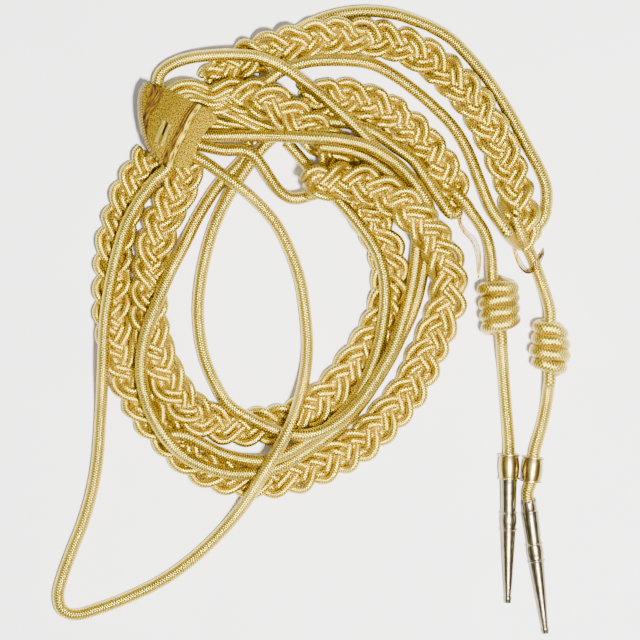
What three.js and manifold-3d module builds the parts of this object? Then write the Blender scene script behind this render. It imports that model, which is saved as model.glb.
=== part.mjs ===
// An aiguillette of gold wire cord, coiled up and laid on a table with its front upwards.
// Four flat plaits and the plain cords beside them start under one folded strap with a buttonhole.
// Two plain cords leave the plaits' ends, each with a wound knot, a slide bead and a metal tag.
// Millimetres, +Z up. The origin is under the middle of the coil, on the surface that it lies on.
import * as THREE from 'three';
import { mergeVertices } from 'three/addons/utils/BufferGeometryUtils.js';
import Module from 'manifold-3d';

const wasm = await Module();
wasm.setup();

// Driving dimensions.
const GAP = 0.35;
const END_GAP = 0.6;
const CORD_DIAMETER = 6;
const CORD_SIDES = 8;
const CORD_FIT = 0.45;
const PLAIT_WIDTH = 20;
const PLAIT_THICKNESS = 7.6;
const PLAIT_LOBE_PITCH = 11.8;
const PLAIT_OUTER_LOBE = 2.6;
const PLAIT_INNER_LOBE = 1.2;
const PLAIT_RIDGE = 0.7;
const STATIONS_PER_LOBE = 3;

const STRAP_WALL = 1.6;
const STRAP_FALL = 0.12;
const STRAP_FALL_WAY = [0.45, 0.89];
const STRAP_FLOOR_MARGIN = 5;
const STRAP_MOUTH_ROW = 3;
const BUTTONHOLE_LENGTH = 11;
const BUTTONHOLE_WIDTH = 1.8;
const BUTTONHOLE_CENTRE = [-73, 95];
const BUTTONHOLE_TURN = -112;

const STRAIGHT_END = 4;
const KNOT_DIAMETER = 21;
const KNOT_LENGTH = 28;
const KNOT_WRAPS = 4;
const KNOT_SIDES = 12;

const BEAD_DIAMETER = 10.8;
const BEAD_RIM = 0.9;
const BEAD_LENGTH = 12.5;
const BEAD_BORE = CORD_DIAMETER + 4 * GAP;
const BEAD_SEAT_DEPTH = 5.8;
const TAG_IN_BEAD = 5;
const TAG_LENGTH = 67;
const TAG_MOUTH_DIAMETER = 8;
const TAG_CONE_DIAMETER = 8.2;
const TAG_WAIST_DIAMETER = 6.4;
const TAG_RING_DIAMETER = 8.6;
const TAG_RING_START = 22;
const TAG_RING_LENGTH = 8.3;
const TAG_RIM = 0.8;
const TAG_TIP_DIAMETER = 3;
const TAG_END_DIAMETER = 3.6;
const METAL_SIDES = 12;

// How the strands lie on each other.
const LAY_GAP = 0.6;
const LAY_SIDE_GAP = 0.7;
const LAY_STEP = PLAIT_LOBE_PITCH / STATIONS_PER_LOBE;
const LAY_SAG = 0.011;
const LAY_PASSES = 240;
const SAMPLES_TO_SELF_CROSSING = 10;

const CORD_RADIUS = CORD_DIAMETER / 2;
const KNOT_RADIUS = KNOT_DIAMETER / 2;
const BEAD_RADIUS = BEAD_DIAMETER / 2;
const PLAIT_MIDDLE = PLAIT_THICKNESS / 2;

// The strap's outline seen from above, each row from its folded left edge to its open right edge.
const STRAP_ROWS = [
  { left: [-75.5, 76], right: [-60.5, 76] },
  { left: [-79.5, 80.5], right: [-58, 82.5] },
  { left: [-83, 85.5], right: [-55.5, 88.5] },
  { left: [-85, 92], right: [-53, 93.5] },
  { left: [-86.8, 101], right: [-49, 99] },
  { left: [-87.2, 109], right: [-51.5, 104.5] },
  { left: [-86, 115.5], right: [-60, 109] },
  { left: [-83.5, 119], right: [-68, 113.5] },
];

// Each route is a list of x, y and layer, chosen by hand. Where two strands cross,
// the one with the higher layer lies on the other. The heights are worked out from this.
const OUTER_PLAIT_ROUTE = [
  [-80.5, 82.5, 0], [-83.5, 77, 0], [-88.5, 67.5, 0], [-93, 57.5, 0], [-96, 48, 0], [-98.5, 37, 0],
  [-99.5, 20, 0], [-99.5, 5, 0], [-98, -9, 0], [-94.5, -21.5, 0], [-89.5, -33, 0], [-82, -46.5, 0],
  [-73, -57, 0], [-60, -69.5, 0], [-47, -76.5, 0], [-31, -80, 0], [-12, -78.5, 0], [7.5, -71.5, 0],
  [25, -61.5, 0], [39, -47.5, 0], [51, -32.5, 0], [57, -18.5, 0], [63.5, -4, 0], [68.5, 11, 7],
  [67.5, 27, 7], [63.5, 37, 7], [57, 46, 7], [46.5, 56.5, 7], [37, 62.5, 7], [27.5, 67, 7],
  [17.5, 69, 7], [7, 68.5, 7], [-3, 67.5, 7],
];
const INNER_PLAIT_ROUTE = [
  [-61.5, 81, 1], [-64.5, 70, 1], [-70, 58.5, 1], [-75, 48.5, 1], [-78, 37.5, 1], [-80, 25, 1],
  [-81.3, 10, 1], [-80.5, -4, 1], [-76.5, -18, 1], [-71, -31, 1], [-64, -41, 1], [-55, -49, 1],
  [-43, -53, 1], [-29, -53.5, 1], [-15, -51.5, 1], [-1, -45.5, 1], [12, -34.5, 1], [23, -20.5, 1],
  [32, -7, 1], [37, 5, 1], [39.5, 18, 1], [39, 29, 1], [35.5, 40, 1], [29, 51, 1],
  [22, 61, 1.2], [17, 72, 1.6], [13, 82, 3], [4, 91.5, 4], [-7, 100, 4], [-17, 107, 4],
  [-29, 111, 4], [-40, 111.5, 4], [-52, 110, 4], [-61, 106.5, 4],
];
const UPPER_PLAIT_ROUTE = [
  [-52, 119, 1], [-44, 125, 1], [-35, 129.5, 1], [-24, 133.5, 1], [-12, 137, 1], [0, 140, 1],
  [15, 142, 1], [30, 141, 1], [44, 138, 1], [57, 131.5, 1], [68, 123, 1], [77.5, 113.5, 1],
  [85.5, 102.5, 1], [92, 90.5, 1], [98, 77, 1], [102, 65, 1], [104.5, 54, 1], [105, 46, 1],
];
const SHORT_PLAIT_ROUTE = [
  [-5, 110, 1], [7, 111, 1], [19, 111, 1], [32, 107, 1], [44.5, 99.5, 1], [55, 89.5, 1],
  [63.5, 78.5, 1], [69.5, 69, 1], [72, 58.5, 1],
];
const OUTER_COIL_CORD_ROUTE = [
  [-58, 92, 6], [-43, 92, 6], [-25, 91.7, 6], [-6, 90.7, 6], [14, 89.5, 6], [29, 86, 6],
  [43, 77.5, 6], [53, 66.5, 6], [58.4, 57, 4], [60.3, 46.5, 0.5], [59.2, 38, 0.5], [57, 29.5, 0.5],
  [55.3, 21, 0.5], [53, 11, 2], [49.3, 1, 2], [44.5, -9, 2], [39.5, -19, 2], [33, -30, 2],
  [25.5, -41, 2],
  [17, -51, 2], [7, -59, 2], [-3.5, -66.5, 2], [-16, -73.5, 2], [-28, -76.5, 2], [-41, -76.5, 2],
  [-51, -74, 2], [-62, -69, 2], [-71, -60.5, 2], [-78.5, -49.5, 2], [-83, -38, 2], [-85, -24, 2],
  [-82.5, -7, 2], [-76, 10.5, 2], [-70, 24.5, 2], [-63, 38.5, 2], [-56.5, 52, 2], [-46.5, 67.5, 2],
  [-39.5, 74.5, 2], [-34.5, 80, 2], [-32, 87, 2], [-31.5, 97, 2], [-29.5, 108, 2], [-24, 117, 2],
  [-14, 124.5, 2], [-2, 128.5, 2], [13, 129.5, 2], [29, 128, 2], [41, 122.5, 2], [51.5, 115, 2],
  [62, 106, 2], [71, 96.5, 2], [78, 85, 2], [84, 70, 2], [90, 55, 2], [97, 44.5, 2],
];
const MIDDLE_COIL_CORD_ROUTE = [
  [4, 86, 5.5], [19, 84.3, 5.5], [29, 80.3, 5.5], [39.5, 72.5, 5.5], [48, 63, 5.5], [51.8, 54, 5],
  [52.9, 44, 4], [52.5, 34, 3], [51.5, 25, 3], [50, 16, 3], [48, 8, 3], [45, -2, 3],
  [42, -11, 3], [38.5, -18.5, 3], [34, -26.5, 3], [29, -34.5, 3], [23, -42, 3], [16.5, -48.5, 3],
  [9, -53.5, 3], [-1, -57, 3], [-11, -57, 3], [-21, -54, 3], [-31, -49, 3], [-41, -42.5, 3],
  [-48.5, -31, 3], [-54, -17, 3], [-56.5, 0, 3], [-56, 15, 3], [-53, 32, 3], [-48, 48.5, 3],
  [-41, 63, 3], [-35, 72, 3], [-29, 80.5, 3], [-22, 88.5, 3], [-13, 95.5, 3], [-3, 98.5, 3],
  [7, 99, 3], [19, 98, 3], [31, 94, 3], [41.5, 86.5, 3], [50.5, 80, 3], [57, 71.3, 3], [63.5, 61.3, 3], [68.5, 54, 3],
];
const INNER_COIL_CORD_ROUTE = [
  [-12, 88.5, 2.5], [-7.5, 83.5, 2.5], [-2, 77, 2.5], [5, 69.5, 2.5], [12, 61.5, 2.5], [19.5, 53, 2.5], [27, 43.5, 2.5],
  [32.5, 34.5, 2.5], [36, 24, 2.5], [37, 12, 2.5], [36, 0, 2.5], [34, -11, 2.5], [30.5, -22, 2.5],
  [25.5, -33, 2.5], [19, -43, 2.5], [12.5, -50, 2.5], [6, -55.5, 2.5], [-2, -60.5, 2.5],
  [-12, -66.5, 2.5], [-22, -70, 2.5], [-32, -70, 2.5], [-44, -67, 1.5], [-54, -62, 1.5],
  [-61, -58.5, 1.5], [-66.5, -57, 1.5], [-71.5, -57.5, 1.5],
];
const TOP_CORD_ROUTE = [
  [-73.5, 110, 5], [-76.8, 117, 5], [-76.5, 121, 5], [-74, 125, 5], [-68.5, 128.5, 5], [-61, 130.8, 5],
  [-51, 132, 5], [-40, 132.3, 5], [-28, 131.3, 5], [-18, 127.8, 5], [-8, 121.8, 5],
  [2, 114.5, 5], [10, 107.5, 5], [18, 100.3, 5], [25.5, 93, 5], [32.5, 85.5, 5], [39.5, 77.5, 5],
  [45.5, 69, 5], [49, 60, 5],
];
const LINK_CORD_ROUTE = [
  [-57, 87.5, 6], [-50.5, 86, 6], [-43, 84.6, 6], [-35, 84.6, 6], [-29.5, 82.5, 6], [-25, 77.5, 6],
  [-20.5, 70.5, 6], [-15.5, 64, 6], [-10.5, 60.8, 6], [-5, 60.8, 6], [1, 63, 6], [4, 65.5, 6],
];
const LONG_LOOP_CORD_ROUTE = [
  [-61, 83.5, 9], [-57, 81, 9], [-52, 78, 9], [-45, 73, 9], [-37.5, 67.5, 9], [-30, 61.5, 9],
  [-18, 48.5, 9], [-10.5, 34, 9], [-5.5, 19, 9], [-3, 2.5, 9], [-2, -15, 9], [-4, -31.5, 9],
  [-9, -49, 9], [-15, -61.5, 9], [-24, -77, 9], [-35, -94, 9], [-47.5, -108.5, 9],
  [-60, -120, 9], [-74, -130, 9], [-92, -139, 9], [-108, -145, 9], [-118, -147.5, 9],
  [-124.5, -145.3, 9], [-126.7, -138.5, 9], [-124.5, -128.5, 9], [-120, -116, 9],
  [-114, -100.5, 9], [-109.5, -84.5, 9], [-107, -69, 9], [-105.3, -45, 9], [-104, -21, 9],
  [-103, 0, 9], [-100.5, 17, 9], [-97, 33, 9], [-92, 48.5, 9], [-85, 61, 9], [-77.5, 70.5, 9],
  [-72, 75, 9], [-70, 79.5, 9],
];
const RIM_CORD_ROUTE = [
  [-20, 134, 0], [-12, 141.5, 0], [-2, 147.5, 0], [7, 151.2, 0], [18, 153.8, 0], [30, 154.5, 0],
  [42, 153, 0], [52, 149.8, 0], [61, 146, 0], [70, 140.5, 0], [79, 131.5, 0], [87, 122, 0],
  [94, 112, 0], [102, 98.5, 0], [108.5, 86, 0], [114, 76, 0], [117.5, 66.5, 0], [117.7, 57.5, 0],
  [116.3, 51, 0], [113, 46.5, 0],
];

// A cord and a plait as the laying needs them: half width, half thickness and lowest height.
const CORD = { half: CORD_RADIUS, thick: CORD_RADIUS, flat: false };
const PLAIT = { half: PLAIT_WIDTH / 2, thick: PLAIT_MIDDLE, flat: true };

const STRANDS = [
  { name: 'outer_plait', kind: PLAIT, route: OUTER_PLAIT_ROUTE, outerSide: -1 },
  { name: 'inner_plait', kind: PLAIT, route: INNER_PLAIT_ROUTE, outerSide: -1 },
  { name: 'upper_plait', kind: PLAIT, route: UPPER_PLAIT_ROUTE, outerSide: 1 },
  { name: 'short_plait', kind: PLAIT, route: SHORT_PLAIT_ROUTE, outerSide: 1 },
  { name: 'rim_cord', kind: CORD, route: RIM_CORD_ROUTE },
  { name: 'outer_coil_cord', kind: CORD, route: OUTER_COIL_CORD_ROUTE },
  { name: 'inner_coil_cord', kind: CORD, route: INNER_COIL_CORD_ROUTE },
  { name: 'middle_coil_cord', kind: CORD, route: MIDDLE_COIL_CORD_ROUTE },
  { name: 'top_cord', kind: CORD, route: TOP_CORD_ROUTE },
  { name: 'link_cord', kind: CORD, route: LINK_CORD_ROUTE },
  { name: 'long_loop_cord', kind: CORD, route: LONG_LOOP_CORD_ROUTE },
];

const gold = new THREE.MeshStandardMaterial({ color: 0xc9a63f, roughness: 0.42, metalness: 0.85 });
const lace = new THREE.MeshStandardMaterial({ color: 0xc89f1f, roughness: 0.5, metalness: 0.7 });
const brass = new THREE.MeshStandardMaterial({ color: 0xc49a45, roughness: 0.2, metalness: 1 });

const group = new THREE.Group();

function vec(point) {
  return new THREE.Vector3(point[0], point[1], point[2]);
}

// One body with its faces outwards, made of shared corners only.
function closedGeometry(geometry) {
  geometry.deleteAttribute('normal');
  geometry.deleteAttribute('uv');
  const merged = mergeVertices(geometry, 1e-4);
  const index = Array.from(merged.index.array);
  const kept = [];
  let volume = 0;
  const a = new THREE.Vector3();
  const b = new THREE.Vector3();
  const c = new THREE.Vector3();
  for (let i = 0; i < index.length; i += 3) {
    const [p, q, r] = index.slice(i, i + 3);
    if (p === q || q === r || r === p) continue;
    kept.push(p, q, r);
    a.fromBufferAttribute(merged.attributes.position, p);
    b.fromBufferAttribute(merged.attributes.position, q);
    c.fromBufferAttribute(merged.attributes.position, r);
    volume += a.dot(b.cross(c));
  }
  if (volume < 0) kept.reverse();
  merged.setIndex(kept);
  return merged;
}

function addMesh(name, geometry, material) {
  const mesh = new THREE.Mesh(geometry, material);
  mesh.name = name;
  group.add(mesh);
  return mesh;
}

// Whether a point lies over some rows of the strap, or within a margin of them.
function nearRows(rows, margin, x, y) {
  const outline = rows.map((row) => row.left).concat(rows.map((row) => row.right).reverse());
  let inside = false;
  let nearest = Infinity;
  for (let i = 0, j = outline.length - 1; i < outline.length; j = i, i += 1) {
    const [xi, yi] = outline[i];
    const [xj, yj] = outline[j];
    const crosses = yi > y !== yj > y;
    if (crosses && x < ((xj - xi) * (y - yi)) / (yj - yi) + xi) inside = !inside;
    const along = ((x - xi) * (xj - xi) + (y - yi) * (yj - yi)) / ((xj - xi) ** 2 + (yj - yi) ** 2);
    const share = Math.min(Math.max(along, 0), 1);
    nearest = Math.min(nearest, Math.hypot(x - xi - share * (xj - xi), y - yi - share * (yj - yi)));
  }
  return inside || nearest < margin;
}

function overStrapFloor(kind, x, y) {
  return nearRows(STRAP_ROWS.slice(STRAP_MOUTH_ROW), kind.thick + 2, x, y);
}

// Points along a route at one spacing, with the route's direction and layer at each.
function samplesOf(strand) {
  const layerScale = 1e-3;
  const corners = strand.route.map(([x, y, layer]) => new THREE.Vector3(x, y, layer * layerScale));
  const curve = new THREE.CatmullRomCurve3(corners, false, 'centripetal');
  curve.arcLengthDivisions = corners.length * 20;
  const count = Math.round(curve.getLength() / LAY_STEP);
  const places = curve.getSpacedPoints(count);
  return places.map((place, i) => {
    const before = places[Math.max(i - 1, 0)];
    const after = places[Math.min(i + 1, count)];
    const length = Math.hypot(after.x - before.x, after.y - before.y);
    const along = [(after.x - before.x) / length, (after.y - before.y) / length];
    const ground = strand.kind.thick + (overStrapFloor(strand.kind, place.x, place.y) ? STRAP_WALL + GAP : 0);
    return { x: place.x, y: place.y, layer: place.z / layerScale, along, ground, z: ground };
  });
}

// Half of the room that a strand's footprint takes towards a direction.
function footprint(kind, along, dx, dy) {
  const lengthwise = (along[0] * dx + along[1] * dy) * kind.thick;
  const across = (along[0] * dy - along[1] * dx) * kind.half;
  return Math.hypot(lengthwise, across);
}

// How much higher than the lower strand the upper one has to lie, from how far apart they are.
function liftBetween(upper, p, lower, q) {
  const dx = p.x - q.x;
  const dy = p.y - q.y;
  const distance = Math.hypot(dx, dy);
  if (distance >= upper.half + lower.half + LAY_SIDE_GAP) return 0;
  const ux = distance > 0 ? dx / distance : 1;
  const uy = distance > 0 ? dy / distance : 0;
  const reach = footprint(upper, p.along, ux, uy) + footprint(lower, q.along, ux, uy) + LAY_SIDE_GAP;
  if (distance >= reach) return 0;
  const power = upper.flat || lower.flat ? 2.5 : 2;
  return (upper.thick + lower.thick + LAY_GAP) * (1 - (distance / reach) ** power) ** (1 / power);
}

// Every pair of points that meet, the upper one first, with the lift between them, lowest layer first.
function contactsOf(strands) {
  const contacts = [];
  strands.forEach((first, a) => {
    strands.slice(a).forEach((second, offset) => {
      first.samples.forEach((p, i) => {
        second.samples.forEach((q, j) => {
          if (offset === 0 && j - i < SAMPLES_TO_SELF_CROSSING) return;
          const firstIsUpper = p.layer > q.layer + 1e-6;
          const lift = firstIsUpper
            ? liftBetween(first.kind, p, second.kind, q)
            : liftBetween(second.kind, q, first.kind, p);
          if (lift > 0) contacts.push(firstIsUpper ? [p, q, lift] : [q, p, lift]);
        });
      });
    });
  });
  contacts.sort((one, other) => one[0].layer - other[0].layer);
  return contacts;
}

// The strands sag between what they lie on, and rise over what they cross.
function lay(strands) {
  strands.forEach((strand) => {
    strand.samples = samplesOf(strand);
  });
  const contacts = contactsOf(strands);
  const sag = LAY_SAG * LAY_STEP * LAY_STEP;
  for (let pass = 0; pass < LAY_PASSES; pass += 1) {
    strands.forEach(({ samples }) => {
      for (let i = 1; i < samples.length - 1; i += 1) {
        const middle = (samples[i - 1].z + samples[i + 1].z) / 2 - sag;
        samples[i].z = Math.max(samples[i].ground, middle);
      }
      samples[0].z = Math.max(samples[0].ground, samples[1].z - sag);
      const last = samples.length - 1;
      samples[last].z = Math.max(samples[last].ground, samples[last - 1].z - sag);
    });
    contacts.forEach(([upper, lower, lift]) => {
      upper.z = Math.max(upper.z, lower.z + lift);
    });
  }
}

// The points that a line needs so as to stay within a distance of all its points.
function thinned(points) {
  const last = points.length - 1;
  const line = new THREE.Line3(points[0], points[last]);
  const nearest = new THREE.Vector3();
  let farthest = 0;
  let distance = 0;
  for (let i = 1; i < last; i += 1) {
    const away = line.closestPointToPoint(points[i], true, nearest).distanceTo(points[i]);
    if (away > distance) [farthest, distance] = [i, away];
  }
  if (distance > CORD_FIT) {
    return thinned(points.slice(0, farthest + 1)).slice(0, -1).concat(thinned(points.slice(farthest)));
  }
  return [points[0], points[last]];
}

// A plain cord: an eight-sided tube whose rings stand closer where it bends more.
function cordGeometry(points) {
  const places = thinned(points);
  const last = places.length - 1;
  const rings = places.map((place, i) => {
    const before = place.clone().sub(places[Math.max(i - 1, 0)]).normalize();
    const after = places[Math.min(i + 1, last)].clone().sub(place).normalize();
    const forward = before.add(after).normalize();
    const side = new THREE.Vector3(-forward.y, forward.x, 0).normalize();
    const up = new THREE.Vector3().crossVectors(forward, side);
    return Array.from({ length: CORD_SIDES }, (_, k) => {
      const angle = (2 * Math.PI * (k + 0.5)) / CORD_SIDES;
      const corner = place.clone().addScaledVector(side, CORD_RADIUS * Math.cos(angle));
      return corner.addScaledVector(up, CORD_RADIUS * Math.sin(angle));
    });
  });
  return loftGeometry(rings);
}

// A smooth line through a few points.
function smoothLine(points) {
  const curve = new THREE.CatmullRomCurve3(points, false, 'centripetal');
  return curve.getSpacedPoints(Math.round(curve.getLength() / LAY_STEP));
}

// A ring of points swept along stations, closed by a fan at each end.
function loftGeometry(rings) {
  const size = rings[0].length;
  const positions = rings.flat();
  const index = [];
  for (let i = 0; i < rings.length - 1; i += 1) {
    for (let j = 0; j < size; j += 1) {
      const a = i * size + j;
      const b = i * size + ((j + 1) % size);
      index.push(a, b, b + size, a, b + size, a + size);
    }
  }
  const last = (rings.length - 1) * size;
  for (let j = 1; j < size - 1; j += 1) {
    index.push(0, j + 1, j);
    index.push(last, last + j, last + j + 1);
  }
  const geometry = new THREE.BufferGeometry();
  geometry.setAttribute('position', new THREE.Float32BufferAttribute(positions.flatMap((p) => p.toArray()), 3));
  geometry.setIndex(index);
  return closedGeometry(geometry);
}

// A flat plait of three double cords as one ribbed band with scalloped edges.
function plaitGeometry(strand) {
  const { samples, outerSide } = strand;
  const half = PLAIT_WIDTH / 2;
  const rings = samples.map((sample, i) => {
    const turn = (2 * Math.PI * i) / STATIONS_PER_LOBE;
    const outerNotch = (1 + Math.cos(turn)) / 2;
    const innerNotch = 1 - outerNotch;
    const outer = half - PLAIT_OUTER_LOBE * outerNotch;
    const inner = half - PLAIT_INNER_LOBE * innerNotch;
    const outerTop = PLAIT_MIDDLE - PLAIT_RIDGE * outerNotch;
    const innerTop = PLAIT_MIDDLE - PLAIT_RIDGE * innerNotch;
    const before = samples[Math.max(i - 1, 0)];
    const after = samples[Math.min(i + 1, samples.length - 1)];
    const forward = new THREE.Vector3(after.x - before.x, after.y - before.y, after.z - before.z).normalize();
    const side = new THREE.Vector3(-sample.along[1], sample.along[0], 0).multiplyScalar(outerSide);
    const up = new THREE.Vector3().crossVectors(forward, side).multiplyScalar(outerSide);
    const centre = new THREE.Vector3(sample.x, sample.y, sample.z);
    const section = [
      [outer, 0], [0.62 * outer, 0.9 * outerTop], [0, 0.94 * PLAIT_MIDDLE], [-0.62 * inner, 0.9 * innerTop],
      [-inner, 0], [-0.62 * inner, -0.85 * PLAIT_MIDDLE], [0, -PLAIT_MIDDLE], [0.62 * outer, -0.85 * PLAIT_MIDDLE],
    ];
    return section.map(([across, rise]) => centre.clone().addScaledVector(side, across).addScaledVector(up, rise));
  });
  return loftGeometry(rings);
}

// The highest top of any strand under the strap, as if the strap had no slope.
function strapTop(strands, slope) {
  let top = 0;
  strands.forEach(({ samples, kind }) => {
    samples.forEach((sample) => {
      if (!nearRows(STRAP_ROWS, CORD_RADIUS, sample.x, sample.y)) return;
      top = Math.max(top, sample.z + kind.thick + slope(sample));
    });
  });
  return top + LAY_GAP;
}

// The folded strap: a lower panel, a round fold at the left and an upper panel that falls to the right.
function strapGeometry(strands) {
  const [startX, startY] = STRAP_ROWS[0].left;
  const [wayX, wayY] = STRAP_FALL_WAY;
  const slope = (point) => STRAP_FALL * ((point.x - startX) * wayX + (point.y - startY) * wayY);
  const underside = strapTop(strands, slope);
  const foldSteps = 6;
  const rings = STRAP_ROWS.map(({ left, right }) => {
    const across = new THREE.Vector3(right[0] - left[0], right[1] - left[1], 0).normalize();
    const edge = new THREE.Vector3(left[0], left[1], 0);
    const far = new THREE.Vector3(right[0], right[1], 0);
    const height = (point) => underside + STRAP_WALL - slope(point);
    const shell = (inset) => {
      const bulge = height(edge) / 2 - inset;
      const centre = edge.clone().addScaledVector(across, height(edge) / 4);
      const points = [far.clone().setZ(inset)];
      for (let k = 0; k <= foldSteps; k += 1) {
        const angle = -Math.PI / 2 - (Math.PI * k) / foldSteps;
        const out = centre.clone().addScaledVector(across, Math.cos(angle) * (height(edge) / 4 - inset));
        out.z = height(edge) / 2 + Math.sin(angle) * bulge;
        if (k === foldSteps) out.z = height(out) - inset;
        points.push(out);
      }
      points.push(far.clone().setZ(height(far) - inset));
      return points;
    };
    return shell(0).concat(shell(STRAP_WALL).reverse());
  });
  return { geometry: stripGeometry(rings), underside, slope };
}

// A bent strip of even wall: each ring runs out along its outside and back along its inside.
function stripGeometry(rings) {
  const size = rings[0].length;
  const index = [];
  for (let i = 0; i < rings.length - 1; i += 1) {
    for (let j = 0; j < size; j += 1) {
      const a = i * size + j;
      const b = i * size + ((j + 1) % size);
      index.push(a, b, b + size, a, b + size, a + size);
    }
  }
  const last = (rings.length - 1) * size;
  for (let j = 0; j < size / 2 - 1; j += 1) {
    const k = size - 1 - j;
    index.push(j, k, j + 1, j + 1, k, k - 1);
    index.push(last + j, last + j + 1, last + k, last + j + 1, last + k - 1, last + k);
  }
  const geometry = new THREE.BufferGeometry();
  const numbers = rings.flat().flatMap((point) => point.toArray());
  geometry.setAttribute('position', new THREE.Float32BufferAttribute(numbers, 3));
  geometry.setIndex(index);
  return closedGeometry(geometry);
}

function solidOf(geometry) {
  const vertProperties = new Float32Array(geometry.attributes.position.array);
  const triVerts = new Uint32Array(geometry.index.array);
  return new wasm.Manifold(new wasm.Mesh({ numProp: 3, vertProperties, triVerts }));
}

function geometryOf(solid) {
  const mesh = solid.getMesh();
  const geometry = new THREE.BufferGeometry();
  geometry.setAttribute('position', new THREE.Float32BufferAttribute(mesh.vertProperties, 3));
  geometry.setIndex(Array.from(mesh.triVerts));
  return geometry;
}

// Below its mouth the strap is a single flap: what is under the upper panel is cut away there.
function mouthCutter(underside, slope) {
  const { left, right } = STRAP_ROWS[STRAP_MOUTH_ROW];
  const way = new THREE.Vector2(right[0] - left[0], right[1] - left[1]).normalize();
  const reach = 60;
  const corners = [
    [left[0] - reach * way.x, left[1] - reach * way.y - reach],
    [right[0] + reach * way.x, right[1] + reach * way.y - reach],
    [right[0] + reach * way.x, right[1] + reach * way.y],
    [left[0] - reach * way.x, left[1] - reach * way.y],
  ];
  const lower = corners.map(([x, y]) => new THREE.Vector3(x, y, -1));
  const upper = corners.map(([x, y]) => new THREE.Vector3(x, y, underside - slope({ x, y })));
  return loftGeometry([lower, upper]);
}

// The buttonhole is cut through the upper panel only.
function buttonholeCutter(underside) {
  const straight = (BUTTONHOLE_LENGTH - BUTTONHOLE_WIDTH) / 2;
  const radius = BUTTONHOLE_WIDTH / 2;
  const shape = new THREE.Shape();
  shape.moveTo(-straight, -radius);
  shape.lineTo(straight, -radius);
  shape.absarc(straight, 0, radius, -Math.PI / 2, Math.PI / 2, false);
  shape.lineTo(-straight, radius);
  shape.absarc(-straight, 0, radius, Math.PI / 2, (3 * Math.PI) / 2, false);
  const depth = underside;
  const cutter = new THREE.ExtrudeGeometry(shape, { depth, bevelEnabled: false, curveSegments: 4 });
  cutter.rotateZ(THREE.MathUtils.degToRad(BUTTONHOLE_TURN));
  cutter.translate(BUTTONHOLE_CENTRE[0], BUTTONHOLE_CENTRE[1], underside / 2);
  return closedGeometry(cutter);
}

// A turned piece with its axis from one place towards another.
function turnedMesh(name, profile, sides, material, start, end) {
  const geometry = closedGeometry(new THREE.LatheGeometry(profile.map(([r, y]) => new THREE.Vector2(r, y)), sides));
  const mesh = addMesh(name, geometry, material);
  const direction = end.clone().sub(start).normalize();
  mesh.position.copy(start);
  mesh.quaternion.setFromUnitVectors(new THREE.Vector3(0, 1, 0), direction);
  return mesh;
}

// The wound knot: turns of cord side by side round the cord that runs through it.
function knotProfile() {
  const pitch = KNOT_LENGTH / KNOT_WRAPS;
  const profile = [[0, 0], [CORD_RADIUS, 0]];
  for (let wrap = 0; wrap < KNOT_WRAPS; wrap += 1) {
    const share = wrap === 0 || wrap === KNOT_WRAPS - 1 ? 0.96 : 1;
    profile.push([KNOT_RADIUS * share * 0.9, pitch * (wrap + 0.16)]);
    profile.push([KNOT_RADIUS * share, pitch * (wrap + 0.5)]);
    profile.push([KNOT_RADIUS * share * 0.9, pitch * (wrap + 0.84)]);
  }
  profile.push([CORD_RADIUS, KNOT_LENGTH], [0, KNOT_LENGTH]);
  return profile;
}

function beadProfile() {
  const bore = BEAD_BORE / 2;
  const seat = TAG_MOUTH_DIAMETER / 2 + GAP;
  return [
    [bore, 0], [BEAD_RADIUS, 0], [BEAD_RADIUS, BEAD_RIM], [BEAD_RADIUS * 0.87, BEAD_RIM],
    [BEAD_RADIUS * 0.97, BEAD_LENGTH * 0.35], [BEAD_RADIUS * 0.97, BEAD_LENGTH * 0.65],
    [BEAD_RADIUS * 0.87, BEAD_LENGTH - BEAD_RIM], [BEAD_RADIUS, BEAD_LENGTH - BEAD_RIM],
    [BEAD_RADIUS, BEAD_LENGTH], [seat, BEAD_LENGTH],
    [seat, BEAD_LENGTH - BEAD_SEAT_DEPTH], [bore, BEAD_LENGTH - BEAD_SEAT_DEPTH], [bore, 0],
  ];
}

function tagProfile() {
  const mouth = TAG_MOUTH_DIAMETER / 2;
  const cone = TAG_CONE_DIAMETER / 2;
  const ringEnd = TAG_RING_START + TAG_RING_LENGTH;
  const waist = TAG_WAIST_DIAMETER / 2;
  const ring = TAG_RING_DIAMETER / 2;
  const tip = TAG_TIP_DIAMETER / 2;
  const end = TAG_END_DIAMETER / 2;
  return [
    [0, 0], [mouth * 0.9, 0], [mouth * 0.9, TAG_IN_BEAD], [cone, TAG_IN_BEAD + TAG_RIM],
    [waist, TAG_RING_START - TAG_RIM], [ring, TAG_RING_START - TAG_RIM], [ring, TAG_RING_START],
    [ring * 0.86, TAG_RING_START + TAG_RING_LENGTH * 0.5], [waist, ringEnd - TAG_RIM],
    [ring, ringEnd - TAG_RIM], [ring, ringEnd], [waist, ringEnd], [tip, TAG_LENGTH * 0.94],
    [end, TAG_LENGTH * 0.96], [end * 0.8, TAG_LENGTH * 0.99], [0, TAG_LENGTH],
  ];
}

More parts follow.
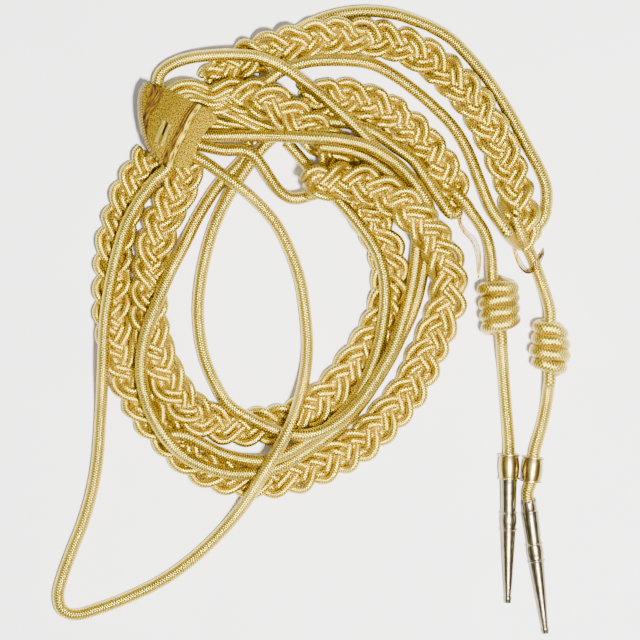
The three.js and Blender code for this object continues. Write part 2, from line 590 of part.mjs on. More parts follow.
// One free end: a cord from a plait, a knot, a cord, a bead that slides on it, and the tag.
function addEnd(number, place) {
  const knotTop = vec([...place.knotTop, KNOT_RADIUS]);
  const knotWay = vec([...place.knotWay, 0]).normalize();
  const knotBottom = knotTop.clone().addScaledVector(knotWay, KNOT_LENGTH);
  turnedMesh(`knot_${number}`, knotProfile(), KNOT_SIDES, gold, knotTop, knotBottom);

  const plaitEnd = STRANDS.find(({ name }) => name === place.plait).samples.at(-1);
  const upper = [new THREE.Vector3(...place.start, plaitEnd.z), ...place.upper.map(vec)];
  upper.push(knotTop.clone().addScaledVector(knotWay, -STRAIGHT_END));
  upper.push(knotTop.clone().addScaledVector(knotWay, -END_GAP));
  addMesh(`end_cord_${number}_upper`, cordGeometry(smoothLine(upper)), gold);

  const beadStart = vec([...place.bead, BEAD_RADIUS]);
  const beadWay = vec([...place.beadWay, 0]).normalize();
  const beadEnd = beadStart.clone().addScaledVector(beadWay, BEAD_LENGTH);
  turnedMesh(`slide_bead_${number}`, beadProfile(), METAL_SIDES, brass, beadStart, beadEnd);

  const mouth = beadEnd.clone().addScaledVector(beadWay, place.tagAway);
  const tagEnd = mouth.clone().addScaledVector(vec([...place.tagWay, 0]).normalize(), TAG_LENGTH);
  tagEnd.z = mouth.z + ((TAG_RING_DIAMETER / 2 - mouth.z) * TAG_LENGTH) / (TAG_RING_START + TAG_RING_LENGTH);
  const tagWay = tagEnd.clone().sub(mouth).normalize();
  turnedMesh(`tag_${number}`, tagProfile(), METAL_SIDES, brass, mouth, tagEnd);

  const lower = [knotBottom.clone().addScaledVector(knotWay, END_GAP)];
  lower.push(knotBottom.clone().addScaledVector(knotWay, STRAIGHT_END));
  lower.push(...place.lower.map(vec), beadStart.clone());
  if (place.tagAway > STRAIGHT_END) lower.push(beadEnd.clone(), mouth.clone().addScaledVector(tagWay, -STRAIGHT_END));
  lower.push(mouth.clone().addScaledVector(tagWay, -END_GAP));
  addMesh(`end_cord_${number}_lower`, cordGeometry(smoothLine(lower)), gold);
}

lay(STRANDS);

STRANDS.forEach((strand) => {
  if (strand.kind.flat) {
    addMesh(strand.name, plaitGeometry(strand), gold);
    return;
  }
  const points = strand.samples.map(({ x, y, z }) => new THREE.Vector3(x, y, z));
  addMesh(strand.name, cordGeometry(points), gold);
});

const strap = strapGeometry(STRANDS);
const cutStrap = solidOf(strap.geometry)
  .subtract(solidOf(mouthCutter(strap.underside, strap.slope)))
  .subtract(solidOf(buttonholeCutter(strap.underside)));
addMesh('shoulder_strap', geometryOf(cutStrap), lace);

addEnd(1, {
  plait: 'short_plait',
  start: [75.6, 56.8],
  upper: [
    [79.5, 53.5, CORD_RADIUS + 0.5], [83.5, 49, CORD_RADIUS], [87, 43, CORD_RADIUS],
    [89.5, 35, CORD_RADIUS + 2], [91.2, 29, KNOT_RADIUS - 2],
  ],
  knotTop: [92.7, 21.5],
  knotWay: [2, -28],
  lower: [
    [95.1, -13.5, KNOT_RADIUS - 2], [96, -24, CORD_RADIUS + 1], [97, -38, CORD_RADIUS],
    [98.3, -54, CORD_RADIUS + 0.5], [98.8, -62, BEAD_RADIUS - 0.6],
  ],
  bead: [98.8, -67.2],
  beadWay: [0, -1],
  tagAway: -TAG_IN_BEAD,
  tagWay: [-0.5, -61],
});
addEnd(2, {
  plait: 'upper_plait',
  start: [106, 42.8],
  upper: [
    [108.3, 37, CORD_RADIUS + 0.5], [111, 30, CORD_RADIUS], [114, 22, CORD_RADIUS],
    [116.7, 14, CORD_RADIUS + 2], [118.4, 8, KNOT_RADIUS - 2],
  ],
  knotTop: [119.3, 1],
  knotWay: [-0.3, -28],
  lower: [
    [118.6, -33, KNOT_RADIUS - 2], [117.7, -41, CORD_RADIUS + 1], [116, -50, CORD_RADIUS],
    [113.8, -58, CORD_RADIUS + 1], [112, -64, BEAD_RADIUS - 0.6],
  ],
  bead: [111.2, -68.7],
  beadWay: [-1.5, -13],
  tagAway: 9.5,
  tagWay: [8.5, -66],
});

export default group;
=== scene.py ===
# Looks of an aiguillette of gold wire cord, coiled up on a table with its front upwards.
# Lengths in the tables are millimetres, as in the part's source. Blender's own are metres.
import math

import bmesh
import bpy
import numpy as np
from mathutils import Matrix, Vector


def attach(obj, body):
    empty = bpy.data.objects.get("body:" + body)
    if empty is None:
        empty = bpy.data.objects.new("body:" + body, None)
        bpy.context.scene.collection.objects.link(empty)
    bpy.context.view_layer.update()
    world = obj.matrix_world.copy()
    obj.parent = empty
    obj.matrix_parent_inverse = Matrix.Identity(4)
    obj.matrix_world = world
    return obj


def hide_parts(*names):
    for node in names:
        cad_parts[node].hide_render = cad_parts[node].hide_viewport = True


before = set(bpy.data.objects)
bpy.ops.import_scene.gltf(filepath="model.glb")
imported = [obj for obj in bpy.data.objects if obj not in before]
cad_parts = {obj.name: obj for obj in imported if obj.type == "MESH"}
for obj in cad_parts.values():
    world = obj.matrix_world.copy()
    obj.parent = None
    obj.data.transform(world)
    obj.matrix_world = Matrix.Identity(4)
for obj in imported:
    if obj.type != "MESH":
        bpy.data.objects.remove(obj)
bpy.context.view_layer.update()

MM = 0.001
CORD_RADIUS = 3.0
PLAIT_WIDTH = 20.0
PLAIT_THICKNESS = 7.6
PLAIT_LOBE_PITCH = 11.8
PLAIT_PERIOD = 3 * PLAIT_LOBE_PITCH
PLAIT_CORD_RADIUS = 1.95
LAY_GAP = 0.6
LAY_SIDE_GAP = 0.7
LAY_STEP = PLAIT_LOBE_PITCH / 3
LAY_SAG = 0.011
LAY_PASSES = 240
SAMPLES_TO_SELF_CROSSING = 10
GAP = 0.35
DIVISIONS_PER_POINT = 20
STRAP_WALL = 1.6
STRAP_FALL = 0.12
STRAP_FALL_WAY = (0.45, 0.89)
STRAP_MOUTH_ROW = 3
STRAP_MARGIN = 2.0
KNOT_RADIUS = 10.5
KNOT_LENGTH = 28.0
KNOT_WRAPS = 4
BEAD_RADIUS = 5.4
BEAD_LENGTH = 12.5
TAG_LENGTH = 67.0

STRAP_ROWS = [
    ((-75.5, 76), (-60.5, 76)),
    ((-79.5, 80.5), (-58, 82.5)),
    ((-83, 85.5), (-55.5, 88.5)),
    ((-85, 92), (-53, 93.5)),
    ((-86.8, 101), (-49, 99)),
    ((-87.2, 109), (-51.5, 104.5)),
    ((-86, 115.5), (-60, 109)),
    ((-83.5, 119), (-68, 113.5)),
]

# Routes as in the part's source: runs of places, x and y, each run after its layer.
OUTER_PLAIT_ROUTE = [
    (0, (-80.5, 82.5), (-83.5, 77), (-88.5, 67.5), (-93, 57.5), (-96, 48), (-98.5, 37), (-99.5, 20),
     (-99.5, 5), (-98, -9), (-94.5, -21.5), (-89.5, -33), (-82, -46.5), (-73, -57), (-60, -69.5),
     (-47, -76.5), (-31, -80), (-12, -78.5), (7.5, -71.5), (25, -61.5), (39, -47.5), (51, -32.5),
     (57, -18.5), (63.5, -4)),
    (7, (68.5, 11), (67.5, 27), (63.5, 37), (57, 46), (46.5, 56.5), (37, 62.5), (27.5, 67), (17.5, 69),
     (7, 68.5), (-3, 67.5)),
]
INNER_PLAIT_ROUTE = [
    (1, (-61.5, 81), (-64.5, 70), (-70, 58.5), (-75, 48.5), (-78, 37.5), (-80, 25), (-81.3, 10),
     (-80.5, -4), (-76.5, -18), (-71, -31), (-64, -41), (-55, -49), (-43, -53), (-29, -53.5),
     (-15, -51.5), (-1, -45.5), (12, -34.5), (23, -20.5), (32, -7), (37, 5), (39.5, 18), (39, 29),
     (35.5, 40), (29, 51)),
    (1.2, (22, 61)),
    (1.6, (17, 72)),
    (3, (13, 82)),
    (4, (4, 91.5), (-7, 100), (-17, 107), (-29, 111), (-40, 111.5), (-52, 110), (-61, 106.5)),
]
UPPER_PLAIT_ROUTE = [
    (1, (-52, 119), (-44, 125), (-35, 129.5), (-24, 133.5), (-12, 137), (0, 140), (15, 142), (30, 141),
     (44, 138), (57, 131.5), (68, 123), (77.5, 113.5), (85.5, 102.5), (92, 90.5), (98, 77), (102, 65),
     (104.5, 54), (105, 46)),
]
SHORT_PLAIT_ROUTE = [
    (1, (-5, 110), (7, 111), (19, 111), (32, 107), (44.5, 99.5), (55, 89.5), (63.5, 78.5), (69.5, 69),
     (72, 58.5)),
]
OUTER_COIL_CORD_ROUTE = [
    (6, (-58, 92), (-43, 92), (-25, 91.7), (-6, 90.7), (14, 89.5), (29, 86), (43, 77.5), (53, 66.5)),
    (4, (58.4, 57)),
    (0.5, (60.3, 46.5), (59.2, 38), (57, 29.5), (55.3, 21)),
    (2, (53, 11), (49.3, 1), (44.5, -9), (39.5, -19), (33, -30), (25.5, -41), (17, -51), (7, -59),
     (-3.5, -66.5), (-16, -73.5), (-28, -76.5), (-41, -76.5), (-51, -74), (-62, -69), (-71, -60.5),
     (-78.5, -49.5), (-83, -38), (-85, -24), (-82.5, -7), (-76, 10.5), (-70, 24.5), (-63, 38.5),
     (-56.5, 52), (-46.5, 67.5), (-39.5, 74.5), (-34.5, 80), (-32, 87), (-31.5, 97), (-29.5, 108),
     (-24, 117), (-14, 124.5), (-2, 128.5), (13, 129.5), (29, 128), (41, 122.5), (51.5, 115),
     (62, 106), (71, 96.5), (78, 85), (84, 70), (90, 55), (97, 44.5)),
]
MIDDLE_COIL_CORD_ROUTE = [
    (5.5, (4, 86), (19, 84.3), (29, 80.3), (39.5, 72.5), (48, 63)),
    (5, (51.8, 54)),
    (4, (52.9, 44)),
    (3, (52.5, 34), (51.5, 25), (50, 16), (48, 8), (45, -2), (42, -11), (38.5, -18.5), (34, -26.5),
     (29, -34.5), (23, -42), (16.5, -48.5), (9, -53.5), (-1, -57), (-11, -57), (-21, -54), (-31, -49),
     (-41, -42.5), (-48.5, -31), (-54, -17), (-56.5, 0), (-56, 15), (-53, 32), (-48, 48.5), (-41, 63),
     (-35, 72), (-29, 80.5), (-22, 88.5), (-13, 95.5), (-3, 98.5), (7, 99), (19, 98), (31, 94),
     (41.5, 86.5), (50.5, 80), (57, 71.3), (63.5, 61.3), (68.5, 54)),
]
INNER_COIL_CORD_ROUTE = [
    (2.5, (-12, 88.5), (-7.5, 83.5), (-2, 77), (5, 69.5), (12, 61.5), (19.5, 53), (27, 43.5),
     (32.5, 34.5), (36, 24), (37, 12), (36, 0), (34, -11), (30.5, -22), (25.5, -33), (19, -43),
     (12.5, -50), (6, -55.5), (-2, -60.5), (-12, -66.5), (-22, -70), (-32, -70)),
    (1.5, (-44, -67), (-54, -62), (-61, -58.5), (-66.5, -57), (-71.5, -57.5)),
]
TOP_CORD_ROUTE = [
    (5, (-73.5, 110), (-76.8, 117), (-76.5, 121), (-74, 125), (-68.5, 128.5), (-61, 130.8), (-51, 132),
     (-40, 132.3), (-28, 131.3), (-18, 127.8), (-8, 121.8), (2, 114.5), (10, 107.5), (18, 100.3),
     (25.5, 93), (32.5, 85.5), (39.5, 77.5), (45.5, 69), (49, 60)),
]
LINK_CORD_ROUTE = [
    (6, (-57, 87.5), (-50.5, 86), (-43, 84.6), (-35, 84.6), (-29.5, 82.5), (-25, 77.5), (-20.5, 70.5),
     (-15.5, 64), (-10.5, 60.8), (-5, 60.8), (1, 63), (4, 65.5)),
]
LONG_LOOP_CORD_ROUTE = [
    (9, (-61, 83.5), (-57, 81), (-52, 78), (-45, 73), (-37.5, 67.5), (-30, 61.5), (-18, 48.5),
     (-10.5, 34), (-5.5, 19), (-3, 2.5), (-2, -15), (-4, -31.5), (-9, -49), (-15, -61.5), (-24, -77),
     (-35, -94), (-47.5, -108.5), (-60, -120), (-74, -130), (-92, -139), (-108, -145), (-118, -147.5),
     (-124.5, -145.3), (-126.7, -138.5), (-124.5, -128.5), (-120, -116), (-114, -100.5),
     (-109.5, -84.5), (-107, -69), (-105.3, -45), (-104, -21), (-103, 0), (-100.5, 17), (-97, 33),
     (-92, 48.5), (-85, 61), (-77.5, 70.5), (-72, 75), (-70, 79.5)),
]
RIM_CORD_ROUTE = [
    (0, (-20, 134), (-12, 141.5), (-2, 147.5), (7, 151.2), (18, 153.8), (30, 154.5), (42, 153),
     (52, 149.8), (61, 146), (70, 140.5), (79, 131.5), (87, 122), (94, 112), (102, 98.5), (108.5, 86),
     (114, 76), (117.5, 66.5), (117.7, 57.5), (116.3, 51), (113, 46.5)),
]

CORD = {"half": CORD_RADIUS, "thick": CORD_RADIUS, "flat": False}
PLAIT = {"half": PLAIT_WIDTH / 2, "thick": PLAIT_THICKNESS / 2, "flat": True}

# Each with the side of a plait's outer edge as its route runs, 1 left and -1 right. Plain cords have 0.
STRAND_ROWS = [
    ("outer_plait", -1, OUTER_PLAIT_ROUTE),
    ("inner_plait", -1, INNER_PLAIT_ROUTE),
    ("upper_plait", 1, UPPER_PLAIT_ROUTE),
    ("short_plait", 1, SHORT_PLAIT_ROUTE),
    ("rim_cord", 0, RIM_CORD_ROUTE),
    ("outer_coil_cord", 0, OUTER_COIL_CORD_ROUTE),
    ("inner_coil_cord", 0, INNER_COIL_CORD_ROUTE),
    ("middle_coil_cord", 0, MIDDLE_COIL_CORD_ROUTE),
    ("top_cord", 0, TOP_CORD_ROUTE),
    ("link_cord", 0, LINK_CORD_ROUTE),
    ("long_loop_cord", 0, LONG_LOOP_CORD_ROUTE),
]
STRANDS = [{"name": name, "kind": PLAIT if side else CORD, "side": side, "route": route}
           for name, side, route in STRAND_ROWS]


def segment_terms(points):
    """The cubic of each stretch of a centripetal line through the points."""
    points = np.asarray(points, float)
    first = 2 * points[0] - points[1]
    last = 2 * points[-1] - points[-2]
    padded = np.vstack([first, points, last])
    terms = []
    for i in range(len(points) - 1):
        p0, p1, p2, p3 = padded[i:i + 4]
        d0 = np.sum((p1 - p0) ** 2) ** 0.25
        d1 = np.sum((p2 - p1) ** 2) ** 0.25
        d2 = np.sum((p3 - p2) ** 2) ** 0.25
        t1 = ((p1 - p0) / d0 - (p2 - p0) / (d0 + d1) + (p2 - p1) / d1) * d1
        t2 = ((p2 - p1) / d1 - (p3 - p1) / (d1 + d2) + (p3 - p2) / d2) * d1
        terms.append((p1, t1, -3 * p1 + 3 * p2 - 2 * t1 - t2, 2 * p1 - 2 * p2 + t1 + t2))
    return terms


def line_at(terms, shares):
    """Points of the line at shares of its knots, from 0 to 1."""
    places = np.asarray(shares) * len(terms)
    index = np.minimum(places.astype(int), len(terms) - 1)
    weight = (places - index)[:, None]
    c = [np.array([terms[i][k] for i in index]) for k in range(4)]
    return c[0] + weight * (c[1] + weight * (c[2] + weight * c[3]))


def lengths_along(path):
    return np.concatenate([[0], np.cumsum(np.linalg.norm(np.diff(path, axis=0), axis=1))])


def unit(vectors):
    """One vector, or rows of them, brought to a length of one."""
    return vectors / np.linalg.norm(vectors, axis=-1, keepdims=True)


def smooth_path(points, step):
    """Places at about one step along the smooth line through the points."""
    terms = segment_terms(points)
    shares = np.linspace(0, 1, len(points) * DIVISIONS_PER_POINT + 1)
    lengths = lengths_along(line_at(terms, shares))
    wanted = np.linspace(0, lengths[-1], max(2, round(lengths[-1] / step)) + 1)
    return line_at(terms, np.interp(wanted, lengths, shares))


def near_rows(rows, margin, x, y):
    """Whether a place lies inside the rows' outline or nearer to it than a margin."""
    outline = [row[0] for row in rows] + [row[1] for row in rows][::-1]
    inside = False
    nearest = math.inf
    for (xi, yi), (xj, yj) in zip(outline, outline[-1:] + outline[:-1]):
        if (yi > y) != (yj > y) and x < (xj - xi) * (y - yi) / (yj - yi) + xi:
            inside = not inside
        along = ((x - xi) * (xj - xi) + (y - yi) * (yj - yi)) / ((xj - xi) ** 2 + (yj - yi) ** 2)
        share = min(max(along, 0), 1)
        nearest = min(nearest, math.hypot(x - xi - share * (xj - xi), y - yi - share * (yj - yi)))
    return inside or nearest < margin


def lay_samples(strand):
    """Points along a route at the laying's spacing, as dictionaries."""
    scale = 1e-3  # The layer must hardly change the distances along the line.
    corners = [(x, y, layer * scale) for layer, *run in strand["route"] for x, y in run]
    places = smooth_path(corners, LAY_STEP)
    thick = strand["kind"]["thick"]
    samples = []
    for i, place in enumerate(places):
        way = unit((places[min(i + 1, len(places) - 1)] - places[max(i - 1, 0)])[:2])
        over = near_rows(STRAP_ROWS[STRAP_MOUTH_ROW:], thick + STRAP_MARGIN, place[0], place[1])
        ground = thick + (STRAP_WALL + GAP if over else 0)
        samples.append({"x": place[0], "y": place[1], "layer": place[2] / scale,
                        "way": way, "ground": ground, "z": ground})
    return samples


def footprint(kind, way, dx, dy):
    return math.hypot((way[0] * dx + way[1] * dy) * kind["thick"],
                      (way[0] * dy - way[1] * dx) * kind["half"])


def lift_between(upper, p, lower, q):
    dx = p["x"] - q["x"]
    dy = p["y"] - q["y"]
    distance = math.hypot(dx, dy)
    if distance >= upper["half"] + lower["half"] + LAY_SIDE_GAP:
        return 0
    ux, uy = (dx / distance, dy / distance) if distance > 0 else (1, 0)
    reach = footprint(upper, p["way"], ux, uy) + footprint(lower, q["way"], ux, uy) + LAY_SIDE_GAP
    if distance >= reach:
        return 0
    power = 2.5 if upper["flat"] or lower["flat"] else 2
    return (upper["thick"] + lower["thick"] + LAY_GAP) * (1 - (distance / reach) ** power) ** (1 / power)


def contacts_of(strands):
    contacts = []
    for a, first in enumerate(strands):
        first_places = np.array([[q["x"], q["y"]] for q in first["samples"]])
        for offset, second in enumerate(strands[a:]):
            second_places = np.array([[q["x"], q["y"]] for q in second["samples"]])
            apart = np.linalg.norm(first_places[:, None] - second_places[None], axis=2)
            limit = first["kind"]["half"] + second["kind"]["half"] + LAY_SIDE_GAP
            for i, j in np.argwhere(apart < limit):
                if offset == 0 and j - i < SAMPLES_TO_SELF_CROSSING:
                    continue
                p = first["samples"][i]
                q = second["samples"][j]
                first_is_upper = p["layer"] > q["layer"] + 1e-6
                pair = (first["kind"], p), (second["kind"], q)
                (upper, p), (lower, q) = pair if first_is_upper else pair[::-1]
                lift = lift_between(upper, p, lower, q)
                if lift > 0:
                    contacts.append((p, q, lift))
    contacts.sort(key=lambda contact: contact[0]["layer"])
    return contacts


def lay(strands):
    """The strands sag between what they lie on, and rise over what they cross."""
    for strand in strands:
        strand["samples"] = lay_samples(strand)
    contacts = contacts_of(strands)
    sag = LAY_SAG * LAY_STEP * LAY_STEP
    for _ in range(LAY_PASSES):
        for strand in strands:
            s = strand["samples"]
            for i in range(1, len(s) - 1):
                middle = (s[i - 1]["z"] + s[i + 1]["z"]) / 2 - sag
                s[i]["z"] = max(s[i]["ground"], middle)
            s[0]["z"] = max(s[0]["ground"], s[1]["z"] - sag)
            s[-1]["z"] = max(s[-1]["ground"], s[-2]["z"] - sag)
        for upper, lower, lift in contacts:
            if upper["z"] < lower["z"] + lift:
                upper["z"] = lower["z"] + lift


lay(STRANDS)


def softened(strand):
    """A strand's places, with the small kinks taken out of the heights between the ends."""
    points = np.array([[q["x"], q["y"], q["z"]] for q in strand["samples"]])
    for _ in range(2):
        points[1:-1, 2] = (points[:-2, 2] + 2 * points[1:-1, 2] + points[2:, 2]) / 4
    return points


# Camera straight above, as in the photograph, with a long lens so that heights hardly shift anything.
CAMERA_PLACE = (0.00425, 0.0)
CAMERA_HEIGHT = 2.6
FOCUS_HEIGHT = 0.006
VIEW_WIDTH = 0.32
SENSOR_WIDTH = 36
camera_data = bpy.data.cameras.new("camera")
camera = bpy.data.objects.new("camera", camera_data)
bpy.context.scene.collection.objects.link(camera)
camera_data.sensor_width = SENSOR_WIDTH
camera_data.sensor_fit = "HORIZONTAL"
camera_data.lens = SENSOR_WIDTH * (CAMERA_HEIGHT - FOCUS_HEIGHT) / VIEW_WIDTH
camera_data.clip_start = 0.05
camera_data.clip_end = 20
camera.location = (*CAMERA_PLACE, CAMERA_HEIGHT)
bpy.context.scene.camera = camera


class Nodes:
    """A small helper that wires up one material."""

    def __init__(self, name):
        self.material = bpy.data.materials.new(name)
        self.material.use_nodes = True
        self.tree = self.material.node_tree
        self.shader = self.tree.nodes["Principled BSDF"]

    def add(self, kind, **values):
        node = self.tree.nodes.new(kind)
        for key, value in values.items():
            setattr(node, key, value)
        return node

    def link(self, source, target):
        self.tree.links.new(source, target)

    def feed(self, sockets, values):
        """Each socket gets its number, colour or link."""
        for socket, value in zip(sockets, values):
            if isinstance(value, (int, float)):
                socket.default_value = value
            elif isinstance(value, tuple):
                socket.default_value = (*value, 1)
            else:
                self.link(value, socket)

    def math(self, operation, *values):
        node = self.add("ShaderNodeMath", operation=operation)
        self.feed(node.inputs, values)
        return node.outputs[0]

    def mix(self, factor, first, second, blend="MIX"):
        node = self.add("ShaderNodeMix", data_type="RGBA", blend_type=blend)
        self.feed((node.inputs[0], node.inputs[6], node.inputs[7]), (factor, first, second))
        return node.outputs[2]

    def ramp(self, factor, stops):
        node = self.add("ShaderNodeValToRGB")
        self.link(factor, node.inputs[0])
        elements = node.color_ramp.elements
        while len(elements) < len(stops):
            elements.new(0.5)
        for element, (place, colour) in zip(elements, stops):
            element.position = place
            element.color = (*colour, 1)
        return node.outputs[0]

    def noise(self, coordinate, scale, detail=2.0):
        node = self.add("ShaderNodeTexNoise")
        node.inputs["Scale"].default_value = scale
        node.inputs["Detail"].default_value = detail
        self.link(coordinate, node.inputs["Vector"])
        return node.outputs["Fac"]

    def combine(self, first, second):
        node = self.add("ShaderNodeCombineXYZ")
        self.link(first, node.inputs[0])
        self.link(second, node.inputs[1])
        return node.outputs[0]

    def shaded(self, colour, shade):
        """The colour times a grey."""
        grey = self.add("ShaderNodeCombineColor")
        for socket in grey.inputs[:3]:
            self.link(shade, socket)
        return self.mix(1.0, colour, grey.outputs[0], "MULTIPLY")

    def map_range(self, value, limits, ends, **settings):
        node = self.add("ShaderNodeMapRange", **settings)
        for socket, number in zip(node.inputs[1:5], (*limits, *ends)):
            socket.default_value = number
        self.link(value, node.inputs[0])
        return node.outputs[0]

    def uv(self, name="UVMap"):
        node = self.add("ShaderNodeUVMap", uv_map=name)
        split = self.add("ShaderNodeSeparateXYZ")
        self.link(node.outputs[0], split.inputs[0])
        return split.outputs[0], split.outputs[1]

    def place(self):
        return self.add("ShaderNodeTexCoord").outputs["Object"]

    def bump(self, height, distance, strength=1.0):
        node = self.add("ShaderNodeBump")
        node.inputs["Strength"].default_value = strength
        node.inputs["Distance"].default_value = distance
        self.link(height, node.inputs["Height"])
        return node.outputs[0]


WIRE_ROUGHNESS = 0.29


def wire_cord_material(name, painted_groove_shade, middle, painted_crown_highlight, relief, mottle=0.6):
    """Gilt wire braided round a cord. The UV map counts the braid's cells round and along it. Its colour
    paints shade into the grooves between the cells and highlights onto their crowns, over the middle gold.
    """
    n = Nodes(name)
    u, v = n.uv()
    left = n.math("SINE", n.math("MULTIPLY", n.math("ADD", u, v), math.pi))
    right = n.math("SINE", n.math("MULTIPLY", n.math("SUBTRACT", u, v), math.pi))
    cell = n.math("MULTIPLY", n.math("ABSOLUTE", left), n.math("ABSOLUTE", right))
    slant = n.math("ADD", v, n.math("MULTIPLY", u, 0.5))
    wires = n.math("ABSOLUTE", n.math("SINE", n.math("MULTIPLY", slant, 4 * math.pi)))
    height = n.math("MULTIPLY_ADD", wires, 0.12, n.math("POWER", cell, 0.7))
    patches = n.noise(n.place(), 70, 3)
    # Painted shade and highlight: the grooves take the darkest colour and the cells' crowns the brightest.
    colour = n.ramp(height, [(0.14, painted_groove_shade), (0.5, middle), (0.92, painted_crown_highlight)])
    colour = n.shaded(colour, n.math("MULTIPLY_ADD", patches, mottle, 0.98 - mottle / 2))
    n.link(colour, n.shader.inputs["Base Color"])
    n.shader.inputs["Metallic"].default_value = 1.0
    n.shader.inputs["Roughness"].default_value = WIRE_ROUGHNESS
    n.link(n.bump(height, relief), n.shader.inputs["Normal"])
    return n.material


CORD_CELLS_ROUND = 6
CORD_CELL_LENGTH = 1.27
THIN_CELLS_ROUND = 5
THIN_CELL_LENGTH = 1.2
KNOT_CELLS_ROUND = 8
KNOT_CELL_LENGTH = 1.15

# Each gold is given as the painted shade of its grooves, its middle gold and the painted highlight of its
# crowns.
cord_gold = wire_cord_material("cord_gold", (0.14, 0.08, 0.003), (0.54, 0.37, 0.014),
                               (0.96, 0.78, 0.13), 0.00026)
plait_gold = wire_cord_material("plait_gold", (0.17, 0.095, 0.002), (0.55, 0.38, 0.01),
                                (1.0, 0.82, 0.12), 0.00018, mottle=0.4)
knot_gold = wire_cord_material("knot_gold", (0.17, 0.1, 0.003), (0.54, 0.38, 0.012),
                               (1.0, 0.83, 0.16), 0.00021)


def new_object(name, mesh, material, smooth=True):
    for polygon in mesh.polygons:
        polygon.use_smooth = smooth
    obj = bpy.data.objects.new(name, mesh)
    bpy.context.scene.collection.objects.link(obj)
    mesh.materials.append(material)
    return obj


def mesh_object(name, points, faces, uvs, material):
    """An object from points in millimetres, faces, and the UV places of each face's corners."""
    mesh = bpy.data.meshes.new(name)
    mesh.from_pydata([tuple(MM * c for c in p) for p in points], [], faces)
    layer = mesh.uv_layers.new(name="UVMap")
    layer.data.foreach_set("uv", [c for face in uvs for corner in face for c in corner])
    mesh.validate()
    return new_object(name, mesh, material)


def hand_over(obj, slot, *nodes):
    """The piece rides on the only body and stands for its nodes. The slot is not used."""
    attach(obj, "root")
    if nodes:
        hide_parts(*nodes)


class TubeMesh:
    """Tubes gathered into one mesh, with a UV map that counts cells round and along each tube."""

    def __init__(self):
        self.points = []
        self.faces = []
        self.uvs = []

    def add(self, path, radius, sides, cells_round, cell_length):
        count = len(path)
        forward = unit(np.gradient(path, axis=0))
        side = np.cross([0, 0, 1], forward[0])
        lengths = lengths_along(path)
        start = len(self.points)
        for i in range(count):
            side = unit(side - forward[i] * np.dot(side, forward[i]))
            up = np.cross(forward[i], side)
            for k in range(sides):
                angle = 2 * math.pi * k / sides
                self.points.append(path[i] + radius * (math.cos(angle) * side + math.sin(angle) * up))
        for i in range(count - 1):
            for k in range(sides):
                a = start + i * sides + k
                b = start + i * sides + (k + 1) % sides
                self.faces.append((a, b, b + sides, a + sides))
                u0 = cells_round * (k / sides - 0.25) + 0.25
                u1 = u0 + cells_round / sides
                v0 = lengths[i] / cell_length
                v1 = lengths[i + 1] / cell_length
                self.uvs.append(((u0, v0), (u1, v0), (u1, v1), (u0, v1)))
        last = start + (count - 1) * sides
        for ring in (range(start, start + sides)[::-1], range(last, last + sides)):
            self.faces.append(tuple(ring))
            self.uvs.append(tuple((math.cos(k), math.sin(k)) for k in range(sides)))

    def build(self, name, material):
        return mesh_object(name, self.points, self.faces, self.uvs, material)


CORD_RING_STEP = 1.6
CORD_SIDES = 20


def plain_cord(name, path, nodes):
    """A plain gilt cord along a path in millimetres, standing for its CAD nodes."""
    fine = smooth_path(path, CORD_RING_STEP)
    tube = TubeMesh()
    tube.add(fine, CORD_RADIUS, CORD_SIDES, CORD_CELLS_ROUND, CORD_CELL_LENGTH)
    obj = tube.build(name, cord_gold)
    hand_over(obj, "gold_cord", *nodes)


# Where a cord runs into a plait or a wrapping, its last points lead on into it.
CORD_TUCKS = {
    "rim_cord": [(112, 42.8, 3.6), (107.6, 39.8, 3.2)],
    "outer_coil_cord": [(99.4, 41.4, 12), (102, 38.8, 7.5), (105, 37.4, 3.6)],
    "middle_coil_cord": [(70.8, 52.8, 8.5), (73.6, 54.6, 6.5)],
}
for strand in STRANDS:
    if not strand["kind"]["flat"]:
        name = strand["name"]
        plain_cord(f"{name}_weave", np.vstack([softened(strand), *CORD_TUCKS.get(name, [])]), [name])


# The flat plaits: three strands of two thin cords each, plaited over and under.
STRAND_CORDS = 2
PLAIT_SWING = PLAIT_WIDTH / 2 - STRAND_CORDS * PLAIT_CORD_RADIUS
PLAIT_RISE = PLAIT_THICKNESS / 2 - PLAIT_CORD_RADIUS + 0.3
PLAIT_EAR = 0.2
PLAIT_TILT = 0.9
PLAIT_LINE_STEP = 1.0
PHASE_WANDER = 0.5
PHASE_STOPS = 60
CORD_WANDER = 0.3
CORD_STOPS = 90
SQUEEZE_RUN = 14
DIVE_RUN = 7
LOOSE_SPREAD = 4.6
LOOSE_HEIGHTS = (0.9, -1.2, 0.9)
CORE_SPREAD = 3.6
CORE_SWAY = 0.8
CORE_DEPTH = 0.6
CORE_RADIUS = 2.2
CORE_RING_STEP = 2.0
CORE_SIDES = 8
CORE_CELLS_ROUND = 6
THIN_RING_STEP = 1.3
THIN_SIDES = 12


def eased(value):
    value = np.clip(value, 0, 1)
    return value * value * (3 - 2 * value)


def thinner(path):
    return path[::2] if len(path) % 2 else np.vstack([path[::2], path[-1:]])


def thin_cord(tube, path):
    tube.add(smooth_path(path, THIN_RING_STEP), PLAIT_CORD_RADIUS, THIN_SIDES,
             THIN_CELLS_ROUND, THIN_CELL_LENGTH)


